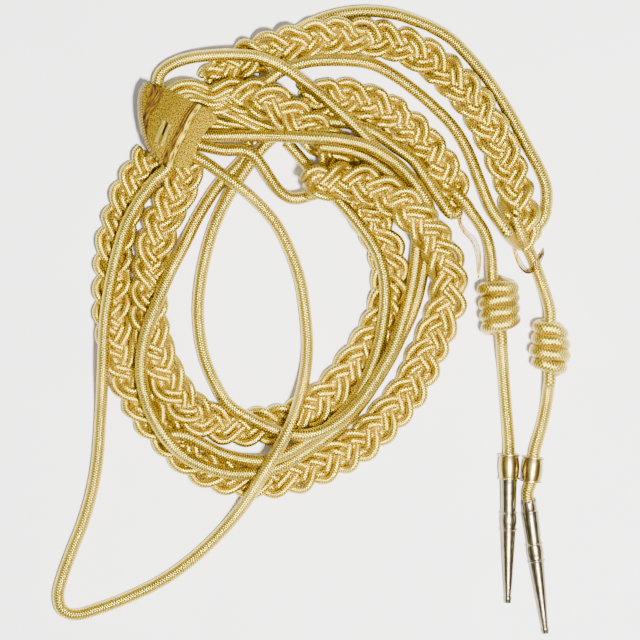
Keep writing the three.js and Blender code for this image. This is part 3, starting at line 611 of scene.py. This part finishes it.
def plait_tubes(tube, points, outer_side, shape, seed):
    line = smooth_path(points, PLAIT_LINE_STEP)
    forward = unit(np.gradient(line, axis=0))
    side = unit(np.stack([-forward[:, 1], forward[:, 0], np.zeros(len(line))], axis=1)) * outer_side
    up = np.cross(forward, side) * outer_side
    lengths = lengths_along(line)
    total = lengths[-1]
    width = 1.0
    dive = 0.0
    for squeeze, depth, run in zip(shape["squeeze"], shape["dive"], (lengths, total - lengths)):
        width = width * (squeeze + (1 - squeeze) * np.clip(run / SQUEEZE_RUN, 0, 1) ** 0.6)
        dive = dive + depth * np.clip(1 - run / DIVE_RUN, 0, 1) ** 2
    loose_run = shape["loose"]
    plaited = np.ones(len(lengths))
    if loose_run:
        plaited = eased((total - lengths) / loose_run - 1 / 3) * (lengths > 0)
    chance = np.random.default_rng(seed)

    def wandering(most, stops):
        return np.interp(lengths, np.linspace(0, total, stops), chance.uniform(-most, most, stops))

    # Where the plaiting ends, the strands keep the order across that they have there.
    joining = int(np.argmin(np.abs(lengths - (total - loose_run * 0.85)))) if loose_run else 0
    phases = [math.cos(2 * math.pi * (lengths[joining] / PLAIT_PERIOD + strand / 3)) for strand in range(3)]
    ranks = np.argsort(np.argsort(phases))
    for strand in range(3):
        wander = wandering(PHASE_WANDER, PHASE_STOPS)
        t = 2 * math.pi * (lengths / PLAIT_PERIOD + strand / 3) + 0.5 * wander
        c = np.cos(t)
        lateral = PLAIT_SWING * (c + PLAIT_EAR * (c * c - 1)) * width
        lateral = plaited * lateral + (1 - plaited) * (ranks[strand] - 1) * LOOSE_SPREAD
        rise = PLAIT_RISE * np.sin(2 * t)
        rise = plaited * rise + (1 - plaited) * LOOSE_HEIGHTS[ranks[strand]]
        slope = np.gradient(lateral, lengths)
        size = np.sqrt(1 + slope * slope)
        for sign in (-1, 1):
            shift = sign * PLAIT_CORD_RADIUS
            loose = wandering(CORD_WANDER, CORD_STOPS)
            across = lateral + shift / size
            along = -shift * slope / size
            height = rise + PLAIT_TILT * sign * c * np.abs(c) * plaited + loose - dive
            path = line + side * (across + loose)[:, None] + forward * along[:, None] + up * height[:, None]
            path[:, 2] = np.maximum(path[:, 2], PLAIT_CORD_RADIUS)
            thin_cord(tube, thinner(path))
    # Strands that lie deeper in the plait, so that no light comes through it.
    for place in (-1, 0, 1):
        sway = CORE_SWAY * np.sin(3 * math.pi * lengths / PLAIT_PERIOD + place)
        path = line + side * (place * CORE_SPREAD * width + sway)[:, None] - up * (CORE_DEPTH + dive)[:, None]
        path[:, 2] = np.maximum(path[:, 2], CORE_RADIUS)
        tube.add(smooth_path(thinner(path), CORE_RING_STEP), CORE_RADIUS, CORE_SIDES,
                 CORE_CELLS_ROUND, THIN_CELL_LENGTH)
    for stray in shape["strays"]:
        thin_cord(tube, stray)


# Squeeze: the share of the width that is left at each end. Dive: how far each end goes down.
# Loose: how far the strands run side by side at the end. Drop: the points left off the end, before
# those of the tail are added. Strays: strands that fan out of the plait.
PLAIN_SHAPE = {"dive": (0, 0), "loose": 0, "drop": 0, "tail": [], "strays": []}
PLAIT_SHAPES = {
    "outer_plait": {"squeeze": (0.8, 0.7), "dive": (0, 4)},
    "inner_plait": {
        "squeeze": (0.8, 0.8), "loose": 36, "drop": 3,
        "tail": [(-55.5, 111.5, 9.5), (-62.5, 111.8, 10), (-68.5, 108.5, 10.5), (-72, 103.5, 10.5)],
        "strays": [
            [(-60, 109.2, 8.5), (-54.3, 107, 9.5), (-41, 101.9, 11), (-28.9, 96.2, 10.5), (-19.5, 92.5, 9.9)],
            [(-57, 110, 8), (-51.3, 108.6, 9), (-41.8, 105.5, 10), (-32, 100.6, 11.5), (-19.3, 95.6, 10.8),
             (-12, 93.5, 10.8)],
            [(-50, 101, 7), (-44, 98.6, 7.8), (-37.8, 97.6, 7.8), (-31.8, 96.3, 7.4), (-25, 93.6, 7)],
            [(-53, 97.4, 2.2), (-47, 96.9, 2.3), (-41, 96.7, 2.3), (-36.5, 96.6, 2.3)],
        ],
    },
    "upper_plait": {"squeeze": (0.55, 0.25), "dive": (3.5, 0),
                    "tail": [(105, 41.6, 7.5), (104.2, 38.4, 5.2)]},
    "short_plait": {"squeeze": (0.85, 0.45), "tail": [(73.6, 55.8, 4)]},
}
for strand in STRANDS:
    if not strand["kind"]["flat"]:
        continue
    name = strand["name"]
    shape = {**PLAIN_SHAPE, **PLAIT_SHAPES[name]}
    route = softened(strand)
    route = np.vstack([route[:len(route) - shape["drop"]], *shape["tail"]])
    tubes = TubeMesh()
    plait_tubes(tubes, route, strand["side"], shape, len(name))
    hand_over(tubes.build(f"{name}_weave", plait_gold), "gold_cord", name)


def polished_brass(name, tone, worn):
    """Gilt brass with faint turning lines, and darker patches where the gilding has worn."""
    n = Nodes(name)
    place = n.place()
    patches = n.noise(place, 260, 4)
    colour = n.mix(n.ramp(patches, [(0.35, (0, 0, 0)), (0.75, (1, 1, 1))]), worn, tone)
    n.link(colour, n.shader.inputs["Base Color"])
    n.shader.inputs["Metallic"].default_value = 1.0
    rough = n.math("MULTIPLY_ADD", n.noise(place, 900, 2), 0.14, 0.17)
    n.link(rough, n.shader.inputs["Roughness"])
    lines = n.math("SINE", n.math("MULTIPLY", n.uv()[1], 40))
    n.link(n.bump(lines, 0.000006, 0.6), n.shader.inputs["Normal"])
    return n.material


bead_gold = polished_brass("bead_gold", (0.56, 0.43, 0.13), (0.36, 0.26, 0.07))
tag_brass = polished_brass("tag_brass", (0.35, 0.3, 0.185), (0.2, 0.165, 0.1))


TURNED_SIDES = 48
SHARP_EDGE = math.radians(38)


def turned(name, profile, start, end, material, ragged=0.0):
    """A turned piece: a profile of radius and distance, its axis from one place towards another.
    Ragged is how far its mouth is torn."""
    sides = TURNED_SIDES
    way = unit(end - start)
    side = unit(np.cross(way, [0, 0, 1.0]))
    up = np.cross(side, way)
    points, faces, uvs = [], [], []
    runs = lengths_along(profile)
    for radius, along in profile:
        for k in range(sides):
            angle = 2 * math.pi * k / sides
            torn = ragged * max(1 - along, 0) * (math.sin(5 * angle + 1) + 0.7 * math.sin(9 * angle))
            out = math.cos(angle) * side + math.sin(angle) * up
            points.append(start + way * (along + torn) + radius * out)
    for i in range(len(profile) - 1):
        for k in range(sides):
            a = i * sides + k
            b = i * sides + (k + 1) % sides
            faces.append((a, b, b + sides, a + sides))
            uvs.append(((k / sides, runs[i]), ((k + 1) / sides, runs[i]),
                        ((k + 1) / sides, runs[i + 1]), (k / sides, runs[i + 1])))
    obj = mesh_object(name, points, faces, uvs, material)
    made = bmesh.new()
    made.from_mesh(obj.data)
    bmesh.ops.remove_doubles(made, verts=made.verts, dist=1e-6)
    bmesh.ops.recalc_face_normals(made, faces=made.faces)
    made.to_mesh(obj.data)
    made.free()
    edges = obj.modifiers.new("edges", "EDGE_SPLIT")
    edges.split_angle = SHARP_EDGE
    return obj


# Radius and distance along the axis.
BEAD_PROFILE = [
    (3.7, 0), (5.2, 0), (5.4, 0.2), (5.4, 0.7), (5.15, 0.95), (4.75, 1.1), (4.95, 2.2), (5.2, 4),
    (5.28, 6.25), (5.2, 8.5), (4.95, 10.3), (4.75, 11.4), (5.15, 11.55), (5.4, 11.8), (5.4, 12.3),
    (5.2, 12.5), (4.35, 12.5), (4.35, 6.7), (3.7, 6.7), (3.7, 0),
]
TAG_PROFILE = [
    (0.02, 2), (3.1, 2), (3.1, 0), (3.55, 0), (3.65, 0.4), (3.65, 4.7), (3.8, 5), (4.2, 5.3), (4.25, 5.8),
    (4.15, 6.2), (4.05, 7), (3.85, 13), (3.65, 20.6), (3.7, 21.1), (4.05, 21.2), (4.5, 21.5),
    (4.53, 21.8), (4.25, 22.1), (3.8, 22.4), (4, 23.8), (4.1, 25.5), (4, 27.4), (3.6, 29), (3.7, 29.4),
    (4.25, 29.6), (4.53, 29.9), (4.5, 30.25), (4.05, 30.5), (3.7, 30.8), (3.6, 32), (2.95, 44),
    (2.25, 56), (1.7, 62.9), (1.6, 63.6), (1.85, 64), (1.9, 64.6), (1.8, 65.4), (1.6, 65.8),
    (1.65, 66.6), (1.45, 67), (0.6, 67.05), (0.02, 67),
]
TAG_RING_HEIGHT = 4.6
TAG_RING_PLACE = 30.3
TAG_CLEARANCE = 0.3
KNOT_CORD_RADIUS = 3.35
KNOT_CORD_SEAT = 3.2
KNOT_RING_STEP = 1.2
KNOT_START = 2.8
KNOT_END = 1.4
KNOT_TUCK = 0.2
KNOT_WRAP_POINTS = 28
KNOT_SKEW_PLACE = 0.125
KNOT_SKEW_REACH = 0.16


def knot_path(top, way, place):
    """Turns of cord side by side round the cord that runs through, with both ends tucked in below."""
    side = np.cross(way, [0, 0, 1.0])
    up = np.cross(side, way)
    points = []
    count = KNOT_WRAPS * KNOT_WRAP_POINTS
    for i in range(count + 1):
        share = i / count
        angle = -math.pi / 2 + place["turn"] * 2 * math.pi * KNOT_WRAPS * share
        along = KNOT_START + (KNOT_LENGTH - KNOT_START - KNOT_END) * share
        skewed = max(1 - abs(share - KNOT_SKEW_PLACE) / KNOT_SKEW_REACH, 0)
        along -= place["skew"] * math.cos(angle) * skewed
        along += 0.5 * math.sin(2.3 * angle + place["turn"]) * math.sin(0.5 * angle)
        tuck = min(min(share, 1 - share) * KNOT_WRAPS / KNOT_TUCK, 1)
        middle = np.interp(share * KNOT_WRAPS, np.arange(KNOT_WRAPS) + 0.5, place["widths"])
        r = (middle - KNOT_CORD_SEAT) * (0.35 + 0.65 * tuck) + 0.2 * math.sin(1.7 * angle)
        points.append(top + way * along + r * (math.cos(angle) * side + math.sin(angle) * up))
    return points


def add_end(number, place):
    """One tagged end. Its ways are those of the knot, the bead and the tag."""
    knot_way, bead_way, tag_way = unit(np.array([[*way, 0.0] for way in place["ways"]]))
    knot_top = np.array([*place["knot_top"], KNOT_RADIUS])
    knot_bottom = knot_top + knot_way * KNOT_LENGTH
    bead_start = np.array([*place["bead"], BEAD_RADIUS])
    bead_end = bead_start + bead_way * BEAD_LENGTH
    mouth = bead_end + bead_way * place["tag_away"]
    tag_end = mouth + tag_way * TAG_LENGTH
    tag_end[2] = mouth[2] + (TAG_RING_HEIGHT - mouth[2]) * TAG_LENGTH / TAG_RING_PLACE
    tag_way = (tag_end - mouth) / TAG_LENGTH

    knot_tube = TubeMesh()
    knot_tube.add(smooth_path(knot_path(knot_top, knot_way, place), KNOT_RING_STEP), KNOT_CORD_RADIUS,
                  CORD_SIDES, KNOT_CELLS_ROUND, KNOT_CELL_LENGTH)
    knot = knot_tube.build(f"knot_{number}_wraps", knot_gold)
    bead = turned(f"slide_bead_{number}_turned", BEAD_PROFILE, bead_start, bead_end, bead_gold)
    tag = turned(f"tag_{number}_turned", TAG_PROFILE, mouth, tag_end, tag_brass, place["ragged"])
    hand_over(knot, "gold_cord", f"knot_{number}")
    hand_over(bead, "gilt_brass", f"slide_bead_{number}")
    hand_over(tag, "gilt_brass", f"tag_{number}")

    route = [*place["upper"], knot_top + knot_way * KNOT_LENGTH / 2,
             knot_bottom - knot_way * 2, knot_bottom + knot_way * 4, *place["lower"], bead_start]
    if place["tag_away"] > 4:
        route += [bead_end, mouth - tag_way * 4]
    route += [mouth - tag_way * TAG_CLEARANCE]
    plain_cord(f"end_cord_{number}_weave", np.vstack(route),
               [f"end_cord_{number}_upper", f"end_cord_{number}_lower"])


add_end(1, {
    "upper": [(69.6, 65.2, 4.6), (71.6, 63.4, 7.4), (74, 61.4, 8.6), (77, 58.4, 7.6), (80, 53.8, 5.2),
              (83.5, 49, 3.2), (87, 43, 3), (89.3, 35, 4.5), (89.9, 29, 8), (90.1, 24, 10.2),
              (90.7, 18, 10.5)],
    "knot_top": (92.7, 21.5), "turn": -1, "skew": 2.3, "widths": (10.3, 10.5, 10.5, 9.9),
    "lower": [(95.1, -13.5, 8.5), (96, -24, 4), (97, -38, 3), (98.3, -54, 3.5), (98.8, -62, 4.8)],
    "bead": (98.8, -67.2), "tag_away": -5, "ragged": 0.0, "ways": ((2, -28), (0, -1), (-0.5, -61)),
})
add_end(2, {
    "upper": [(101.4, 51, 12.6), (103.1, 46.3, 12.8), (105.3, 41.6, 10), (107.8, 36.8, 5), (111, 30, 3),
              (114, 22, 3), (116.7, 14, 5), (118.4, 8, 8.5), (119.2, 4, 10), (119.3, -1, 10.5)],
    "knot_top": (119.3, 1), "turn": 1, "skew": 0.0, "widths": (8.9, 9.9, 10.5, 8.7),
    "lower": [(118.6, -33, 8.5), (117.7, -41, 4), (116, -50, 3), (113.8, -58, 4), (112, -64, 4.8)],
    "bead": (111.2, -68.7), "tag_away": 9.5, "ragged": 0.9, "ways": ((-0.3, -28), (-1.5, -13), (8.5, -66)),
})


# The strap of gold lace: grain, satin stripes with painted glints, and fine dark lines that follow its
# length.
STRIPE_LINE = [(-74.75, 77), (-73.25, 82.5), (-68.25, 92.5), (-66, 97.5), (-63.25, 102.5),
               (-59.35, 108), (-56, 113)]
FOLD_LINE = [(-76.75, 77), (-81.5, 82.5), (-83.25, 92.5), (-83, 101), (-80.25, 107.5),
             (-78.5, 112.5), (-77, 117)]
FOLD_SPACING = [(1.5, 82.5), (1.3, 92.5), (1.8, 101), (3.4, 107.5), (3.5, 112.5)]


def at_height(rows, y):
    return float(np.interp(y, [row[1] for row in rows], [row[0] for row in rows]))


def strap_slope(x, y):
    start_x, start_y = STRAP_ROWS[0][0]
    return STRAP_FALL * ((x - start_x) * STRAP_FALL_WAY[0] + (y - start_y) * STRAP_FALL_WAY[1])


def strap_underside():
    top = 0
    for strand in STRANDS:
        for q in strand["samples"]:
            if near_rows(STRAP_ROWS, CORD_RADIUS, q["x"], q["y"]):
                top = max(top, q["z"] + strand["kind"]["thick"] + strap_slope(q["x"], q["y"]))
    return top + LAY_GAP


STRAP_UNDERSIDE = strap_underside()


def strap_height(x, y):
    return STRAP_UNDERSIDE + STRAP_WALL - strap_slope(x, y)


def lace_material():
    """Lace of gilt wire: a grainy ground, satin stripes with painted glints, fine dark lines, and a corded
    left edge with painted shade in its grooves and painted highlights on its crowns.
    """
    n = Nodes("gold_lace_weave")
    across, along = n.uv()
    fold_across, from_edge = n.uv("fold")

    def band(value, low, high, soft):
        rise = n.map_range(value, (low - soft, low + soft), (0.0, 1.0), interpolation_type="SMOOTHSTEP")
        fall = n.map_range(value, (high - soft, high + soft), (1.0, 0.0), interpolation_type="SMOOTHSTEP")
        return n.math("MULTIPLY", rise, fall)

    def waves(value, rate):
        return n.math("ABSOLUTE", n.math("SINE", n.math("MULTIPLY", value, rate)))

    def crossed(first, second, rate):
        return n.math("MULTIPLY", waves(n.math("ADD", first, second), rate),
                      waves(n.math("SUBTRACT", first, second), rate))

    flecks = n.math("MULTIPLY_ADD", n.noise(n.combine(across, along), 1.5, 3), 3.6, -1.3)
    grain = n.math("MULTIPLY_ADD", crossed(across, along, 2.4), 0.35, flecks)
    grain = n.math("MAXIMUM", grain, 0.0)
    ground = n.ramp(grain, [(0.0, (0.028, 0.012, 0.0)), (0.4, (0.105, 0.056, 0.0001)),
                            (1.0, (0.52, 0.35, 0.006))])
    ground = n.shaded(ground, n.map_range(across, (-10.0, 14.0), (0.68, 1.35)))
    streak_place = n.combine(n.math("MULTIPLY", across, 1.9), n.math("MULTIPLY", along, 0.22))
    streaks = n.math("MULTIPLY_ADD", n.noise(streak_place, 0.8, 3), 2.0, -0.5)
    streaks = n.math("MULTIPLY_ADD", waves(along, 3.0), 0.1, streaks)
    # The bright satin is partly its own streaky gold and partly painted glints: its highest streaks take a
    # pale gold that stands for sparkle.
    satin = n.ramp(streaks, [(0.25, (0.03, 0.016, 0.0)), (0.5, (0.12, 0.08, 0.0002)),
                             (0.72, (0.66, 0.52, 0.02))])
    dark_satin = n.ramp(streaks, [(0.32, (0.008, 0.003, 0.0)), (0.52, (0.032, 0.015, 0.0001)),
                                  (0.75, (0.13, 0.075, 0.0005))])
    bright_band = band(across, 3.1, 5.9, 0.45)
    dark_band = band(across, 0.3, 3.0, 0.5)
    fold_band = band(fold_across, -0.6, 1.1, 0.1)
    colour = n.mix(bright_band, ground, satin)
    colour = n.mix(dark_band, colour, dark_satin)
    colour = n.mix(fold_band, colour, dark_satin)
    lines = band(across, -0.75, -0.3, 0.12)
    for low, high in ((0.35, 0.7), (2.7, 3.1), (5.9, 6.3)):
        lines = n.math("MAXIMUM", lines, band(across, low, high, 0.12))
    for low, high in ((-0.7, -0.5), (0.15, 0.35), (1.05, 1.25)):
        lines = n.math("MAXIMUM", lines, band(fold_across, low, high, 0.05))
    colour = n.mix(n.math("MULTIPLY", lines, 0.7), colour, (0.13, 0.045, 0.0))
    corded = crossed(n.math("DIVIDE", from_edge, 1.5), n.math("DIVIDE", along, 1.27), math.pi)
    # The corded edge's pattern, with painted shade in its grooves and painted highlight on its crowns.
    corded_edge_painted_light = n.ramp(corded, [(0.12, (0.04, 0.018, 0.0003)), (0.5, (0.2, 0.12, 0.002)),
                                  (0.82, (0.62, 0.47, 0.05))])
    edge_band = band(from_edge, -9.0, 2.6, 0.15)
    colour = n.mix(edge_band, colour, corded_edge_painted_light)
    n.link(colour, n.shader.inputs["Base Color"])
    n.shader.inputs["Metallic"].default_value = 0.85
    smooth = n.math("MAXIMUM", n.math("MAXIMUM", bright_band, dark_band), fold_band)
    n.link(n.math("MULTIPLY_ADD", smooth, 0.08, 0.54), n.shader.inputs["Roughness"])
    height = n.math("MULTIPLY", grain, n.math("SUBTRACT", 1.0, n.math("MULTIPLY", smooth, 0.9)))
    height = n.math("SUBTRACT", height, n.math("MULTIPLY", lines, 0.9))
    height = n.math("ADD", height, n.math("MULTIPLY", streaks, n.math("MULTIPLY", smooth, 0.6)))
    height = n.math("ADD", height, n.math("MULTIPLY", corded, edge_band))
    n.link(n.bump(height, 0.00026), n.shader.inputs["Normal"])
    return n.material


lace = lace_material()
ROWS_ALONG = 44
ACROSS_TOP = 26
FOLD_STEPS = 10
ACROSS_BOTTOM = 6
SHEET_LIFT = 0.03
MOUTH_CUT = 0.35
FOLD_STRIPES_ABOVE = 0.45
AWAY_FROM_FOLD = -5.0
STRAP_EARS = {4: (-46.2, 99.8), 5: (-50.5, 105.2)}


def strap_edge_rows():
    shares = np.linspace(0, 1, ROWS_ALONG + 1)
    knots = np.linspace(0, 1, len(STRAP_ROWS))
    rows = [(left, STRAP_EARS.get(index, right)) for index, (left, right) in enumerate(STRAP_ROWS)]
    edges = []
    for side in (0, 1):
        edge = np.stack([np.interp(shares, knots, [row[side][k] for row in rows]) for k in (0, 1)], axis=1)
        for _ in range(2):
            edge[1:-1] = (edge[:-2] + 2 * edge[1:-1] + edge[2:]) / 4
        edges.append(edge)
    return edges


def strap_mesh():
    left, right = strap_edge_rows()
    first_full = round(ROWS_ALONG * STRAP_MOUTH_ROW / (len(STRAP_ROWS) - 1))
    made = bmesh.new()
    stripe_layer = made.loops.layers.uv.new("UVMap")
    fold_layer = made.loops.layers.uv.new("fold")
    grid = []
    from_left = {}
    for i in range(ROWS_ALONG + 1):
        edge = np.array([*left[i], 0.0])
        far = np.array([*right[i], 0.0])
        across = (far - edge) / np.linalg.norm(far - edge)
        edge_height = strap_height(edge[0], edge[1])
        centre = edge + across * edge_height / 4
        row = []
        if i >= first_full:
            for k in range(ACROSS_BOTTOM):
                point = far + (centre - far) * k / ACROSS_BOTTOM
                row.append((point[0], point[1], SHEET_LIFT))
            for k in range(FOLD_STEPS):
                angle = -math.pi / 2 - math.pi * k / (2 * FOLD_STEPS)
                point = centre + across * math.cos(angle) * edge_height / 4
                depth = edge_height / 2 - SHEET_LIFT
                row.append((point[0], point[1], edge_height / 2 + math.sin(angle) * depth))
        else:
            row += [None] * (ACROSS_BOTTOM + FOLD_STEPS)
        for k in range(FOLD_STEPS):
            angle = math.pi - math.pi * k / (2 * FOLD_STEPS)
            if i < first_full and k < FOLD_STEPS * MOUTH_CUT:
                row.append(None)
                continue
            point = centre + across * math.cos(angle) * edge_height / 4
            row.append((point[0], point[1], edge_height / 2 + math.sin(angle) * edge_height / 2))
        for k in range(ACROSS_TOP + 1):
            point = centre + (far - centre) * k / ACROSS_TOP
            row.append((point[0], point[1], strap_height(point[0], point[1])))
        made_row = [None if p is None else made.verts.new([c * MM for c in p]) for p in row]
        for vert, point in zip(made_row, row):
            if vert is not None:
                from_left[vert] = float(np.dot(np.array([point[0], point[1], 0]) - edge, across))
        grid.append(made_row)
    for upper, lower in zip(grid[1:], grid[:-1]):
        for k in range(len(upper) - 1):
            corners = (lower[k], lower[k + 1], upper[k + 1], upper[k])
            if any(c is None for c in corners):
                continue
            face = made.faces.new(corners)
            for loop in face.loops:
                x, y = loop.vert.co[0] / MM, loop.vert.co[1] / MM
                loop[stripe_layer].uv = (x - at_height(STRIPE_LINE, y), y + 0.3 * x)
                spacing = at_height(FOLD_SPACING, y)
                lifted = loop.vert.co[2] / MM > strap_height(x, y) * FOLD_STRIPES_ABOVE
                from_fold = (x - at_height(FOLD_LINE, y)) / spacing if lifted else AWAY_FROM_FOLD
                loop[fold_layer].uv = (from_fold, from_left[loop.vert])
    made.normal_update()
    mesh = bpy.data.meshes.new("shoulder_strap_lace")
    made.to_mesh(mesh)
    made.free()
    return mesh


strap = new_object("shoulder_strap_lace", strap_mesh(), lace)
wall = strap.modifiers.new("wall", "SOLIDIFY")
wall.thickness = STRAP_WALL * MM
wall.offset = -1
SLIT_CENTRE = (-73.0, 95.0)
SLIT_TURN = math.radians(-112)
SLIT_LENGTH = 7.5
SLIT_WIDTH = 0.9
SLIT_POINTS = 40
STITCHES = 38
STITCH_ROOM = 4.5
STITCH_GAP = 0.1
STITCH_REACH = 2.5
STITCH_RADIUS = 0.34
STITCH_STEP = 0.4


def slit_outline(count, extra, longer):
    """Points of a long round-ended outline about the slit, with their outward directions."""
    straight = SLIT_LENGTH + longer - SLIT_WIDTH
    radius = SLIT_WIDTH / 2 + extra
    half = straight + math.pi * radius
    c, s = math.cos(SLIT_TURN), math.sin(SLIT_TURN)
    rows = []
    for i in range(count):
        sign, run = (1, 2 * half * i / count) if i < count / 2 else (-1, 2 * half * i / count - half)
        angle = -math.pi / 2 + max(run - straight, 0) / radius
        out_x, out_y = sign * math.cos(angle), sign * math.sin(angle)
        x = sign * (min(run, straight) - straight / 2) + radius * out_x + longer / 2
        y = radius * out_y
        rows.append(((SLIT_CENTRE[0] + c * x - s * y, SLIT_CENTRE[1] + s * x + c * y),
                     (c * out_x - s * out_y, s * out_x + c * out_y)))
    return rows


cutter_mesh = bpy.data.meshes.new("slit_cutter")
outline = [row[0] for row in slit_outline(SLIT_POINTS, 0, 0)]
count = len(outline)
cutter_points = [(x * MM, y * MM, STRAP_UNDERSIDE * level * MM) for level in (0.5, 1.5) for x, y in outline]
cutter_faces = [(k, (k + 1) % count, (k + 1) % count + count, k + count) for k in range(count)]
cutter_faces += [tuple(reversed(range(count))), tuple(range(count, 2 * count))]
cutter_mesh.from_pydata(cutter_points, [], cutter_faces)
cutter = bpy.data.objects.new("slit_cutter", cutter_mesh)
bpy.context.scene.collection.objects.link(cutter)
slit = strap.modifiers.new("slit", "BOOLEAN")
slit.object = cutter
slit.operation = "DIFFERENCE"
slit.solver = "EXACT"
bpy.context.view_layer.update()
graph = bpy.context.evaluated_depsgraph_get()
cut_mesh = bpy.data.meshes.new_from_object(strap.evaluated_get(graph))
strap.modifiers.clear()
strap.data = cut_mesh
bpy.data.objects.remove(cutter)
hand_over(strap, "gold_lace", "shoulder_strap")

# Painted shade in the stitches' grooves and painted highlight on their crowns, round a middle gold.
stitch_gold = wire_cord_material("stitch_gold", (0.08, 0.05, 0.001), (0.48, 0.34, 0.008),
                                 (0.95, 0.78, 0.13), 0.0001)
stitches = TubeMesh()
for index, ((x, y), (out_x, out_y)) in enumerate(slit_outline(STITCHES, STITCH_GAP, STITCH_ROOM)):
    reach = STITCH_REACH + 0.3 * math.sin(index * 2.4)
    row = []
    for share, rise in ((0.0, 0.05), (0.2, 0.4), (0.6, 0.5), (1.0, 0.05)):
        px = x + out_x * reach * share
        py = y + out_y * reach * share
        row.append((px, py, strap_height(px, py) + rise))
    stitches.add(smooth_path(row, STITCH_STEP), STITCH_RADIUS, 6, 4, 0.6)
hand_over(stitches.build("buttonhole_stitches", stitch_gold), "gold_lace")

# Loose threads at the two plaits' ends.
# Painted shade in the threads' grooves and painted highlight on their crowns, round a middle gold.
thread_gold = wire_cord_material("thread_gold", (0.05, 0.022, 0.001), (0.22, 0.11, 0.005),
                                 (0.6, 0.38, 0.06), 0.00005)
THREAD_RADIUS = 0.3
THREAD_STEP = 1.0
THREAD_FLOOR = 0.35
THREAD_SPREAD = 0.75
THREADS = [
    [(73.5, 59, 5), (74.9, 54.4, 2.5), (74.25, 49.5, 0.5), (76.75, 44.5, 0.4), (81.1, 40, 0.4),
     (83.6, 32.5, 0.4), (83.6, 21.2, 0.4)],
    [(104.5, 45, 6), (101.9, 39.5, 2), (101.75, 35, 0.5), (103.25, 31, 0.4), (105.25, 27, 0.4),
     (108.2, 24.3, 2.5), (111.2, 25.8, 5.5), (113.6, 29.5, 6.3), (115.6, 33, 4.5), (116.2, 36, 1)],
]
for group, route in enumerate(THREADS):
    for fibre in range(4):
        path = smooth_path(route, THREAD_STEP)
        share = np.linspace(0, 1, len(path))
        drift = (fibre - 1.5) * THREAD_SPREAD * np.sin(math.pi * share) ** 0.4
        drift += 0.25 * np.sin(7 * share + fibre)
        way = unit(np.gradient(path, axis=0))
        path[:, 0] += -way[:, 1] * drift
        path[:, 1] += way[:, 0] * drift
        path[:, 2] = np.maximum(path[:, 2], THREAD_FLOOR)
        tube = TubeMesh()
        tube.add(path, THREAD_RADIUS, 6, 3, 0.9)
        thread = tube.build(f"loose_thread_{group + 1}_{fibre + 1}", thread_gold)
        hand_over(thread, "gold_cord")


# A pale cloth, plain, with only the faintest unevenness.
floor_mesh = bpy.data.meshes.new("floor")
FLOOR_HALF = 3.0
floor_mesh.from_pydata([(x * FLOOR_HALF, y * FLOOR_HALF, 0) for x, y in ((-1, -1), (1, -1), (1, 1), (-1, 1))],
                       [], [(0, 1, 2, 3)])
cloth = Nodes("pale_cloth")
mottle = cloth.noise(cloth.place(), 14, 3)
floor_colour = cloth.ramp(mottle, [(0.3, (0.8, 0.8, 0.81)), (0.7, (0.84, 0.835, 0.845))])
cloth.link(floor_colour, cloth.shader.inputs["Base Color"])
cloth.shader.inputs["Roughness"].default_value = 0.9
floor = new_object("floor", floor_mesh, cloth.material, smooth=False)

WORLD_STRENGTH = 0.68
world = bpy.data.worlds.new("studio")
world.use_nodes = True
tree = world.node_tree
direction = tree.nodes.new("ShaderNodeTexCoord")
split = tree.nodes.new("ShaderNodeSeparateXYZ")
sky = tree.nodes.new("ShaderNodeValToRGB")
low_sky, high_sky = sky.color_ramp.elements
low_sky.position, low_sky.color = 0.45, (0.16, 0.155, 0.15, 1)
high_sky.position, high_sky.color = 0.9, (1.0, 1.0, 1.0, 1)
sky.color_ramp.elements.new(0.7).color = (0.5, 0.5, 0.5, 1)
tree.links.new(direction.outputs["Generated"], split.inputs[0])
tree.links.new(split.outputs[2], sky.inputs[0])
tree.links.new(sky.outputs[0], tree.nodes["Background"].inputs[0])
tree.nodes["Background"].inputs[1].default_value = WORLD_STRENGTH
bpy.context.scene.world = world


def area_light(name, place, size, power, colour):
    """A square light that looks at the middle of the table."""
    data = bpy.data.lights.new(name, "AREA")
    data.energy = power
    data.size = size
    data.color = colour
    light = bpy.data.objects.new(name, data)
    light.location = place
    light.rotation_euler = (-Vector(place)).to_track_quat("-Z", "Y").to_euler()
    bpy.context.scene.collection.objects.link(light)


area_light("key", (0.24, -0.16, 1.3), size=0.12, power=94, colour=(1.0, 0.98, 0.95))
area_light("fill", (-0.9, 0.7, 1.3), size=1.2, power=3, colour=(0.95, 0.97, 1.0))
